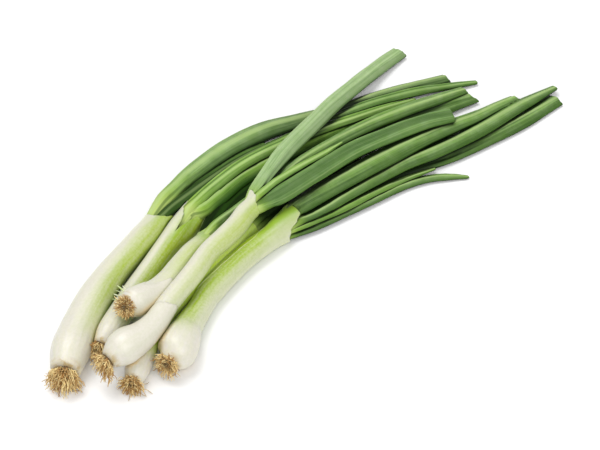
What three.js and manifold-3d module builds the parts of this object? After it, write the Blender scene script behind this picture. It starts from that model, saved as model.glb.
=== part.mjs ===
// A bunch of six spring onions lying in a loose pile on a table.
// Millimetres, +Z up. X runs along the bunch, from the roots to the leaf tips, and the
// origin is on the table under the middle of the bunch.
//
// Every onion is built the same way: one white shank that swells into the bulb, one tuft
// of roots on the bulb's end, and its leaves, which start inside the top of the shank.

import * as THREE from 'three';
import { mergeVertices } from 'three/addons/utils/BufferGeometryUtils.js';
import Module from 'manifold-3d';

const wasm = await Module();
wasm.setup();

// ---------------------------------------------------------------- driving dimensions

const MIDDLE = { x: -0.1, y: 2.8 };   // middle of the whole bunch, as the routes measure it
const GAP = 0.3;              // clearance kept between two pieces that lie on each other
const SHANK_SIDES = 12;
const LEAF_SIDES = 8;
const STEPS_PER_SPAN = 2;     // rings between two rows of a route
const LEAF_FLAT = 0.42;       // thickness over width of an open leaf
const LEAF_NECK = 0.80;       // the same where the leaf leaves the shank
const NECK_SHARE = 0.15;      // share of the leaf that is rounder, next to the shank
const BASE_SHARE = 0.72;      // width of the bulb's flat end over its first ring
const BASE_DEPTH = 1.4;       // how far that end stands out of the first ring
const ROOT_PLATE = 0.40;      // radius of the root plate over the first ring's width
const ROOT_PLATE_HEIGHT = 3;
const ROOT_PLATE_TOP = 0.5;   // radius of the plate's outer end over that at the bulb
const ROOT_PLATE_SIDES = 8;
const ROOT_RADIUS = 0.62;
const ROOT_SIDES = 3;
const ROOT_TIP = 0.6;         // tip radius over ROOT_RADIUS
const ROOT_SPANS = 3;
const ROOT_SHORTEST = 0.6;    // length of the shortest root over the tuft's reach
const ROOT_START = 0.75;      // where the outermost roots start, over the plate's radius
const ROOT_BEND = 0.5;        // sideways bend of a root's tip over its length
const ROOT_TURN_BACK = 0.35;  // how much a spread root loses in reach
const ROOT_CLEAR = 0.9;       // least distance from a root's middle line to another piece
const DISC_HALF = 1.8;        // half thickness of the discs that stand for a shank there
const ROOT_TRIES = 6;         // bends tried for a root before it is left out
const GOLDEN_ANGLE = Math.PI * (3 - Math.sqrt(5));
const WELD = 2e-3;            // points nearer than this are one point

// A route is a list of rows [x, y, z, width] along a piece's middle line.
// The first row of a shank is at the roots, the first row of a leaf is inside the shank.

const ONIONS = {
  a: {
    shank: [
      [-175.5, -15.8, 9.8, 16.5], [-166.5, -8, 10.3, 21.3], [-155, 0.5, 10, 20.5],
      [-134.5, 12.5, 9.6, 20], [-115.5, 21.5, 8.6, 17.5], [-97.5, 27.5, 8.1, 16.5],
      [-79, 34, 7.8, 15.5], [-68, 38.7, 7.6, 15],
    ],
    roots: { count: 20, reach: 11.5, spread: 1.0, droop: 0.35, seed: 11 },
    leaves: [
      [
        [-71.5, 40.2, 7.4, 9], [-57.5, 46.7, 7, 11.5], [-45.5, 50.5, 6.5, 11.5],
        [-28, 54.2, 5.5, 13.5], [-1, 57, 4.5, 14], [27, 54.5, 3.5, 14], [50.5, 46.7, 2.6, 12],
        [76, 37.5, 2, 10], [103.5, 29.5, 1.8, 9.5], [127, 20.5, 1.6, 9], [148.5, 12, 1.4, 7.5],
      ],
      [
        [-71.5, 34.8, 8.8, 8], [-60, 36.8, 9.8, 8.5], [-45, 38.5, 9.2, 9], [-23, 41, 7, 9],
        [1, 42, 5.8, 8.5], [28, 39.5, 3.8, 8.5], [56.5, 33.5, 4.6, 8.5], [88.5, 27, 5, 8],
        [119, 16, 4.7, 7.5], [140, 6, 3.4, 6], [159, -3.5, 2, 3.5],
      ],
      [
        [-70.5, 36.5, 4.6, 6], [-50.5, 41.5, 5, 7], [-32, 45, 5, 7.5], [-9, 47.4, 3.6, 7.5],
        [7, 48.4, 2.8, 6], [20, 47.8, 2.2, 2.4],
      ],
    ],
  },
  b: {
    shank: [
      [-151, -15.3, 10.5, 9.5], [-145.5, -12.8, 10.5, 13], [-139.5, -9.5, 10, 14],
      [-128, -3.5, 8.5, 14], [-115, 3, 7.2, 14], [-98.5, 10, 6.9, 13.5], [-76.5, 19, 6.9, 13.8],
      [-63, 24.4, 7, 14.4], [-50.5, 29, 7, 14.6],
    ],
    roots: { count: 16, reach: 10.5, spread: 0.75, droop: 0.65, seed: 23 },
    leaves: [
      [
        [-52.5, 26.6, 6.2, 9], [-46, 25.6, 7.2, 12], [-32, 27.8, 6.7, 14], [-12, 31, 5.5, 13.5],
        [11.5, 30, 4.5, 13], [32.5, 27, 4.1, 12], [59.5, 23, 3.5, 10.5], [81, 19, 2.9, 8.5],
        [100.5, 14.5, 2.3, 4.5],
      ],
      [
        [-54.5, 29.6, 9.2, 8], [-46, 31.2, 10, 8.5], [-30.5, 33.7, 10, 9], [-6, 36.5, 9.4, 8.5],
        [20, 35, 8.2, 8.5], [45.5, 30.5, 7.6, 8.5], [69, 24, 6.7, 7], [92.5, 18, 5.2, 6],
        [116.5, 11.5, 3.2, 3],
      ],
    ],
  },
  c: {
    shank: [
      [-131.5, -14, 25, 12.5], [-127.5, -13.7, 23.6, 16], [-121, -13.4, 21.6, 15.8],
      [-110.5, -12.2, 18.6, 13.8], [-100, -9.6, 17.2, 12.8], [-88, -5.2, 16, 12.6],
      [-73.5, -0.3, 14.3, 12.5], [-59.5, 3.2, 12.4, 12],
    ],
    roots: { count: 18, reach: 5.5, spread: 0.85, droop: 0.1, seed: 37 },
    leaves: [
      [
        [-62.5, 4.3, 11.2, 7.5], [-51, 10, 9, 10.5], [-38, 16.5, 6, 12.5], [-22, 21, 4, 13],
        [2, 22, 3, 13], [34, 18, 2.7, 12], [68, 12.5, 2.3, 10], [102, 5.5, 1.7, 5],
      ],
      [
        [-63, 1.9, 12.8, 9], [-50, 5.2, 12.2, 11], [-32, 7.3, 10.6, 11], [-13.5, 8.5, 9.2, 12],
        [15, 8.5, 8.2, 13], [49, 7, 7.2, 13.5], [83, 2.5, 5.7, 14], [115, -4, 3.9, 14],
        [145.5, -12.5, 2.7, 9.5],
      ],
    ],
  },
  d: {
    shank: [
      [-158, -32, 20, 10.5], [-152.5, -31.5, 20.5, 16], [-146.5, -31, 20.6, 17.5],
      [-137.5, -32, 20.2, 14.5], [-126, -30, 19.7, 12.5], [-112, -24.5, 20, 12],
      [-89, -17.5, 20.4, 12], [-72, -11.2, 20.4, 11.7], [-60, -9, 19.9, 12.3],
      [-47, -6, 19.3, 12.5], [-36.5, -2.5, 19, 12.7], [-27, -1, 18.6, 12.7],
    ],
    roots: { count: 17, reach: 8.5, spread: 0.75, droop: 0.6, seed: 41 },
    leaves: [
      [
        [-31, 1, 19.8, 7], [-20.5, 7, 19.5, 8.5], [-3.5, 14, 19.5, 9.5], [15.5, 20.5, 18.9, 11.5],
        [42.5, 28, 16.2, 12], [70.5, 36, 12.6, 12], [98, 42.4, 8.2, 12], [123.5, 47.8, 4.2, 12],
        [144, 50.4, 2.3, 11.3],
      ],
      [
        [-30, -3, 18.4, 8], [-22.5, -3.5, 19.5, 11], [-12, -4.5, 19.9, 13], [10.5, -5, 19.8, 13],
        [43.5, -5.5, 18.3, 13.5], [73, -11, 17.2, 13.5], [97, -17, 16, 13], [115, -23.5, 14, 10.5],
      ],
      [
        [-30, 0.5, 15.6, 6.5], [-18.5, 4, 16, 7.5], [-3.5, 6, 16.3, 8.5], [17, 9, 15.2, 9],
        [41.5, 10, 13.1, 8.5], [70, 8, 11.9, 9], [95.5, 3.5, 10.9, 9.5], [121.5, -2, 8.8, 8.5],
        [144, -7, 6.6, 6],
      ],
      [
        [-29, 0.5, 22, 4.5], [-19, 2.5, 21.2, 5], [-3.5, 4, 20.6, 5], [16.5, 3.5, 20, 4.6],
        [32, 2.5, 19.4, 3.8], [43, 2.5, 19, 1.8],
      ],
    ],
  },
  e: {
    shank: [
      [-152.3, -42.9, 6.6, 9.5], [-147.5, -40, 6.7, 13], [-140, -35, 6.7, 13.4],
      [-131, -29, 6.8, 12.4], [-118.5, -22.5, 7.2, 11], [-96, -15.5, 7.8, 11.1],
      [-68, -9, 7.9, 11.3], [-50.5, -6.3, 7.6, 11.5], [-35, -4.5, 7, 11.5],
    ],
    roots: { count: 16, reach: 8, spread: 0.9, droop: 0.2, seed: 53 },
    leaves: [
      [
        [-37, -5.2, 5, 7.5], [-25.5, -3.7, 4.3, 8.5], [-10, -2.2, 3.1, 10], [19, -3, 2.5, 11],
        [50, -8, 2.3, 11], [75, -14, 2.2, 11], [98, -19.5, 2.1, 10], [116, -25, 1.8, 6.5],
      ],
      [
        [-37, -4.4, 9, 7], [-26, -1.8, 8.8, 7.5], [-12.5, -0.3, 7.9, 8], [17.5, 1, 6.6, 8],
        [48, -1, 5.8, 7], [70.5, -5, 5.4, 4],
      ],
    ],
  },
  f: {
    shank: [
      [-132.5, -49, 10.6, 11.5], [-126, -47, 10.4, 21.2], [-117, -41.5, 9.9, 20],
      [-110, -37, 8.6, 16.5], [-98, -31.5, 7.4, 14], [-86.5, -26.5, 6.8, 13.5],
      [-69.5, -22, 6.8, 13.5], [-52, -19, 6.8, 13], [-36, -18, 7, 13.4], [-15.5, -17.2, 7.4, 14.5],
    ],
    roots: { count: 17, reach: 6.5, spread: 0.9, droop: 0.25, seed: 67 },
    leaves: [
      [
        [-21, -14.5, 10.4, 8.5], [-9.5, -13, 11, 11.5], [-1, -13.5, 11.6, 13.5],
        [24.5, -16, 12.4, 14], [63, -19.5, 12.1, 15], [96, -23, 10.9, 14], [127, -28.5, 8.5, 10.5],
        [147.5, -30.5, 6.8, 8.5], [163, -32.5, 5.4, 7.5],
      ],
      [
        [-22, -17.5, 7.2, 7.5], [-9.5, -19, 7.4, 8], [-2.5, -21, 7.8, 8], [10, -22.5, 7.8, 9],
        [25.5, -23.5, 7.6, 10], [64, -27.5, 7.8, 12], [91.5, -34, 7.6, 12], [124, -38.6, 7, 12.5],
        [159.5, -40.2, 5.8, 11.5], [190, -43, 4, 5.5],
      ],
      [
        [-22, -15.5, 3.8, 7], [-9, -18, 3.6, 8.5], [15, -18.5, 2.9, 9.5], [38, -20.5, 2.5, 10.5],
        [65, -27, 2.3, 11], [90.5, -37, 2.2, 11], [119, -43.5, 2.1, 11], [151.5, -48.3, 2, 11.5],
        [184, -50.5, 1.6, 9.6],
      ],
      [
        [-24, -19.8, 3.6, 5.5], [-17, -21.8, 3, 6.5], [-6, -24.8, 2.6, 7.5], [17, -29.5, 2.3, 7.5],
        [42.5, -34, 2.1, 7.5], [60, -37.3, 1.8, 7.5], [74, -43.4, 1.6, 6.6], [84, -50.3, 1.4, 5.2],
        [92, -57.3, 1, 2],
      ],
      [
        [-22.5, -20.5, 6.6, 3.5], [-13, -22.5, 6.2, 4.5], [1, -25.2, 5.7, 5.2],
        [19, -28.4, 5.2, 5.8], [38.5, -30.8, 4.7, 5.8], [58, -34.4, 4.2, 5], [80, -40.2, 3.2, 2.6],
      ],
    ],
  },
};

// The pile from the table up. A piece gives way to everything named before it.
const PILE = [
  'a_shank', 'b_shank', 'e_shank', 'f_shank', 'c_shank', 'd_shank',
  'f_leaf_3', 'f_leaf_4', 'f_leaf_5', 'e_leaf_1', 'e_leaf_2', 'f_leaf_2', 'f_leaf_1',
  'a_leaf_3', 'a_leaf_1', 'a_leaf_2', 'b_leaf_1', 'b_leaf_2', 'c_leaf_1', 'c_leaf_2',
  'd_leaf_3', 'd_leaf_2', 'd_leaf_4', 'd_leaf_1',
];

// ---------------------------------------------------------------- materials

const FINISHES = {
  shank: { color: 0xe6e3cf, roughness: 0.38, metalness: 0 },
  leaf: { color: 0x6f9d4c, roughness: 0.5, metalness: 0 },
  roots: { color: 0xc9a56b, roughness: 0.85, metalness: 0 },
};

// ---------------------------------------------------------------- solids

function toSolid(geometry) {
  geometry.deleteAttribute('normal');
  geometry.deleteAttribute('uv');
  const merged = mergeVertices(geometry, 1e-4);
  return new wasm.Manifold(new wasm.Mesh({
    numProp: 3,
    vertProperties: Float32Array.from(merged.attributes.position.array),
    triVerts: Uint32Array.from(merged.index.array),
  }));
}

// The solid's faces, with the hair-thin ones that a cut leaves welded shut.
function toGeometry(solid) {
  const mesh = solid.getMesh();
  const loose = new THREE.BufferGeometry();
  loose.setAttribute('position', new THREE.BufferAttribute(mesh.vertProperties, 3));
  loose.setIndex(new THREE.BufferAttribute(mesh.triVerts, 1));
  const geometry = mergeVertices(loose, WELD);
  const corners = geometry.index.array;
  const kept = [];
  for (let k = 0; k < corners.length; k += 3) {
    const [a, b, c] = corners.slice(k, k + 3);
    if (a !== b && b !== c && c !== a) kept.push(a, b, c);
  }
  geometry.setIndex(kept);
  geometry.computeVertexNormals();
  return geometry;
}

// The biggest of the bodies that a cut leaves: a loose scrap is dropped.
function mainBody(solid) {
  return solid.decompose().reduce((best, body) => (body.volume() > best.volume() ? body : best));
}

// A closed skin over rings of points, each ring with the same number of points, run in
// the same sense, and a flat fan at each end.
function skin(rings) {
  const sides = rings[0].length;
  const points = rings.flat();
  const index = [];
  for (let ring = 0; ring + 1 < rings.length; ring += 1) {
    for (let side = 0; side < sides; side += 1) {
      const next = (side + 1) % sides;
      const a = ring * sides + side;
      const b = ring * sides + next;
      index.push(a, b, b + sides, a, b + sides, a + sides);
    }
  }
  const end = (rings.length - 1) * sides;
  for (let side = 1; side + 1 < sides; side += 1) {
    index.push(0, side + 1, side);
    index.push(end, end + side, end + side + 1);
  }
  const geometry = new THREE.BufferGeometry().setFromPoints(points);
  geometry.setIndex(index);
  return geometry;
}

// ---------------------------------------------------------------- routes

function curveOf(rows) {
  const points = rows.map(([x, y, z]) => new THREE.Vector3(x, y, z));
  return new THREE.CatmullRomCurve3(points, false, 'catmullrom');
}

function widthOf(rows) {
  const widths = rows.map((row) => new THREE.Vector3(row[3], 0, 0));
  return new THREE.CatmullRomCurve3(widths, false, 'catmullrom');
}

// One ring square to the route at share u, with its wide axis level. grow is added all
// round, and shift moves the ring along the route.
function ringAt(route, u, { sides, flat, grow = 0, scale = 1, shift = 0 }) {
  const along = route.curve.getTangent(u);
  const side = new THREE.Vector3(0, 0, 1).cross(along).normalize();
  const up = along.clone().cross(side);
  const middle = route.curve.getPoint(u).addScaledVector(along, shift);
  const halfWidth = (route.width.getPoint(u).x / 2) * scale + grow;
  const halfThick = (route.width.getPoint(u).x / 2) * scale * flat(u) + grow;
  return Array.from({ length: sides }, (_, k) => {
    const angle = (2 * Math.PI * k) / sides;
    return middle.clone()
      .addScaledVector(side, halfWidth * Math.cos(angle))
      .addScaledVector(up, halfThick * Math.sin(angle));
  });
}

function routeOf(rows) {
  return { curve: curveOf(rows), width: widthOf(rows), steps: (rows.length - 1) * STEPS_PER_SPAN };
}

const round = () => 1;

function leafFlat(u) {
  const open = Math.min(u / NECK_SHARE, 1);
  return LEAF_NECK + (LEAF_FLAT - LEAF_NECK) * open;
}

function shankSkin(rows, grow) {
  const route = routeOf(rows);
  const shape = { sides: SHANK_SIDES, flat: round, grow };
  const rings = [ringAt(route, 0, { ...shape, scale: BASE_SHARE, shift: -BASE_DEPTH - grow })];
  for (let k = 0; k <= route.steps; k += 1) {
    const shift = k === route.steps ? grow : 0;
    rings.push(ringAt(route, k / route.steps, { ...shape, shift }));
  }
  return skin(rings);
}

function leafSkin(rows, grow) {
  const route = routeOf(rows);
  const rings = [];
  for (let k = 0; k <= route.steps; k += 1) {
    const ends = { 0: -grow, [route.steps]: grow };
    const shape = { sides: LEAF_SIDES, flat: leafFlat, grow, shift: ends[k] ?? 0 };
    rings.push(ringAt(route, k / route.steps, shape));
  }
  return skin(rings);
}

// ---------------------------------------------------------------- roots

function seeded(seed) {
  let state = seed;
  return () => {
    state = (state * 1664525 + 1013904223) % 4294967296;
    return state / 4294967296;
  };
}

// Points along one root: it leaves the plate, fans out from the bulb's axis and sags.
// share runs from 0 at the middle of the plate to 1 at its rim, on a spiral.
function rootPath(plate, { reach, spread, droop }, place, share, draw) {
  const turn = place * GOLDEN_ANGLE;
  const off = Math.sqrt(share);
  const outward = plate.side.clone()
    .multiplyScalar(Math.cos(turn))
    .addScaledVector(plate.up, Math.sin(turn));
  const bend = plate.side.clone().multiplyScalar(draw() - 0.5).addScaledVector(plate.up, draw() - 0.5);
  const length = reach * (ROOT_SHORTEST + (1 - ROOT_SHORTEST) * draw());
  const start = plate.middle.clone().addScaledVector(outward, off * plate.radius * ROOT_START);
  return Array.from({ length: ROOT_SPANS + 1 }, (_, k) => {
    const t = k / ROOT_SPANS;
    const point = start.clone()
      .addScaledVector(plate.axis, length * t * (1 - ROOT_TURN_BACK * spread * off * t))
      .addScaledVector(outward, length * spread * off * t * (1.1 - 0.3 * t))
      .addScaledVector(bend, length * ROOT_BEND * t * t);
    point.z = Math.max(point.z - droop * length * t * t, ROOT_RADIUS);
    return point;
  });
}

function rootSkin(path) {
  const curve = new THREE.CatmullRomCurve3(path);
  const rings = path.map((point, k) => {
    const t = k / ROOT_SPANS;
    const along = curve.getTangent(t);
    const side = new THREE.Vector3(0.3, 0.9, 0.31).cross(along).normalize();
    const up = along.clone().cross(side);
    const radius = ROOT_RADIUS * (1 + (ROOT_TIP - 1) * t);
    return Array.from({ length: ROOT_SIDES }, (_, corner) => {
      const angle = (corner * 2 * Math.PI) / ROOT_SIDES;
      return point.clone()
        .addScaledVector(side, radius * Math.cos(angle))
        .addScaledVector(up, radius * Math.sin(angle));
    });
  });
  return skin(rings);
}

// Every shank as a row of discs, which roots keep clear of.
const shankDiscs = Object.values(ONIONS).flatMap(({ shank }) => {
  const route = routeOf(shank);
  const steps = route.steps * 4;
  return Array.from({ length: steps + 1 }, (_, k) => ({
    middle: route.curve.getPoint(k / steps),
    along: route.curve.getTangent(k / steps),
    radius: route.width.getPoint(k / steps).x / 2,
  }));
});
const otherRoots = [];

function isInDisc(probe, { middle, along, radius }) {
  const off = probe.clone().sub(middle);
  const ahead = off.dot(along);
  const aside = Math.sqrt(Math.max(off.lengthSq() - ahead * ahead, 0));
  return Math.abs(ahead) < DISC_HALF && aside < radius + ROOT_CLEAR;
}

function isClear(path) {
  const probes = [];
  for (let k = 1; k < path.length; k += 1) {
    probes.push(path[k], path[k].clone().lerp(path[k - 1], 0.5));
  }
  return probes.every((probe) => (
    !shankDiscs.some((disc) => isInDisc(probe, disc))
    && otherRoots.every((other) => probe.distanceTo(other) > 3 * ROOT_CLEAR)
  ));
}

function rootTuft({ shank, roots }) {
  const route = routeOf(shank);
  const axis = route.curve.getTangent(0).negate();
  const side = new THREE.Vector3(0, 0, 1).cross(axis).normalize();
  const plate = {
    axis,
    side,
    up: axis.clone().cross(side),
    radius: shank[0][3] * ROOT_PLATE,
    middle: route.curve.getPoint(0).addScaledVector(axis, BASE_DEPTH + GAP),
  };
  const core = new THREE.CylinderGeometry(
    plate.radius * ROOT_PLATE_TOP,
    plate.radius,
    ROOT_PLATE_HEIGHT,
    ROOT_PLATE_SIDES,
  );
  core.translate(0, ROOT_PLATE_HEIGHT / 2, 0);
  core.applyQuaternion(new THREE.Quaternion().setFromUnitVectors(new THREE.Vector3(0, 1, 0), axis));
  core.translate(...plate.middle);
  let tuft = toSolid(core);
  plate.middle.addScaledVector(axis, ROOT_PLATE_HEIGHT * 0.3);

  const draw = seeded(roots.seed);
  const placed = [];
  for (let place = 0; place < roots.count; place += 1) {
    const share = (place + 0.5) / roots.count;
    const tries = Array.from({ length: ROOT_TRIES }, () => rootPath(plate, roots, place, share, draw));
    const path = tries.find((candidate) => isClear(candidate.slice(1)));
    if (path) {
      placed.push(path);
      tuft = tuft.add(toSolid(rootSkin(path)));
    }
  }
  otherRoots.push(...placed.flatMap((path) => path.slice(1)));
  return mainBody(tuft);
}

// ---------------------------------------------------------------- the pile

// Half-space above the table, as a block that is larger than the bunch.
const TABLE_BLOCK = { length: 600, height: 100 };

function tableBlock() {
  const block = new THREE.BoxGeometry(TABLE_BLOCK.length, TABLE_BLOCK.length, TABLE_BLOCK.height);
  block.translate(0, 0, -TABLE_BLOCK.height / 2);
  return toSolid(block);
}

function rowsOf(name) {
  const [letter, kind, number] = name.split('_');
  return kind === 'shank' ? ONIONS[letter].shank : ONIONS[letter].leaves[number - 1];
}

function solidOf(name, grow) {
  const shape = name.endsWith('shank') ? shankSkin : leafSkin;
  return toSolid(shape(rowsOf(name), grow));
}

const isOwnLeaf = (shank, name) => shank.endsWith('shank') && name.startsWith(`${shank[0]}_leaf`);

function pieceMesh(name, solid, finish) {
  const mesh = new THREE.Mesh(toGeometry(solid), new THREE.MeshStandardMaterial(FINISHES[finish]));
  mesh.name = `onion_${name}`;
  return mesh;
}

const bunch = new THREE.Group();
bunch.position.set(-MIDDLE.x, -MIDDLE.y, 0);
const table = tableBlock();

PILE.forEach((name, place) => {
  const below = PILE.slice(0, place).filter((other) => !isOwnLeaf(other, name));
  const ownLeaves = PILE.filter((other) => isOwnLeaf(name, other));
  const cut = [...below, ...ownLeaves].reduce(
    (solid, other) => solid.subtract(solidOf(other, GAP)),
    solidOf(name, 0),
  );
  const finish = name.includes('leaf') ? 'leaf' : 'shank';
  bunch.add(pieceMesh(name, mainBody(cut.subtract(table)), finish));
});

for (const [letter, onion] of Object.entries(ONIONS)) {
  bunch.add(pieceMesh(`${letter}_roots`, rootTuft(onion), 'roots'));
}

export default bunch;
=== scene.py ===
import math

import bpy
import numpy as np
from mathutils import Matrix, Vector
from mathutils.bvhtree import BVHTree


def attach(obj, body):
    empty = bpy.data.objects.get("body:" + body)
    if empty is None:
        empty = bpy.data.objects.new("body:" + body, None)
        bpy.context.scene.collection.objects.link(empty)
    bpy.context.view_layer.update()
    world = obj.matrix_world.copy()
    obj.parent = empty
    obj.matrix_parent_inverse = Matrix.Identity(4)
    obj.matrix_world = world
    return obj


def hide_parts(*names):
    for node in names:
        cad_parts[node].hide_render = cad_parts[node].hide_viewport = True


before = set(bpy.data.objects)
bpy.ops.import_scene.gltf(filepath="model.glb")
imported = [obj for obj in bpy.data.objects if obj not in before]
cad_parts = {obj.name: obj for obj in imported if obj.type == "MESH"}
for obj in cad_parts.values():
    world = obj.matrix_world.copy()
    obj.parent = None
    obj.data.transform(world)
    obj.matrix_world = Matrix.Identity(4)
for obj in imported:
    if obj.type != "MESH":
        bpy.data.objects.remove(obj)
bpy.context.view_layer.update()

MM = 0.001
MIDDLE = np.array([-0.1, 2.8, 0.0])     # middle of the bunch, as the routes measure it

# ------------------------------------------------------------------ routes
# A route is a list of rows [x, y, z, width] in millimetres along a piece's middle line.
# The first row of a shank is at the roots, the first row of a leaf is inside the shank.

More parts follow.
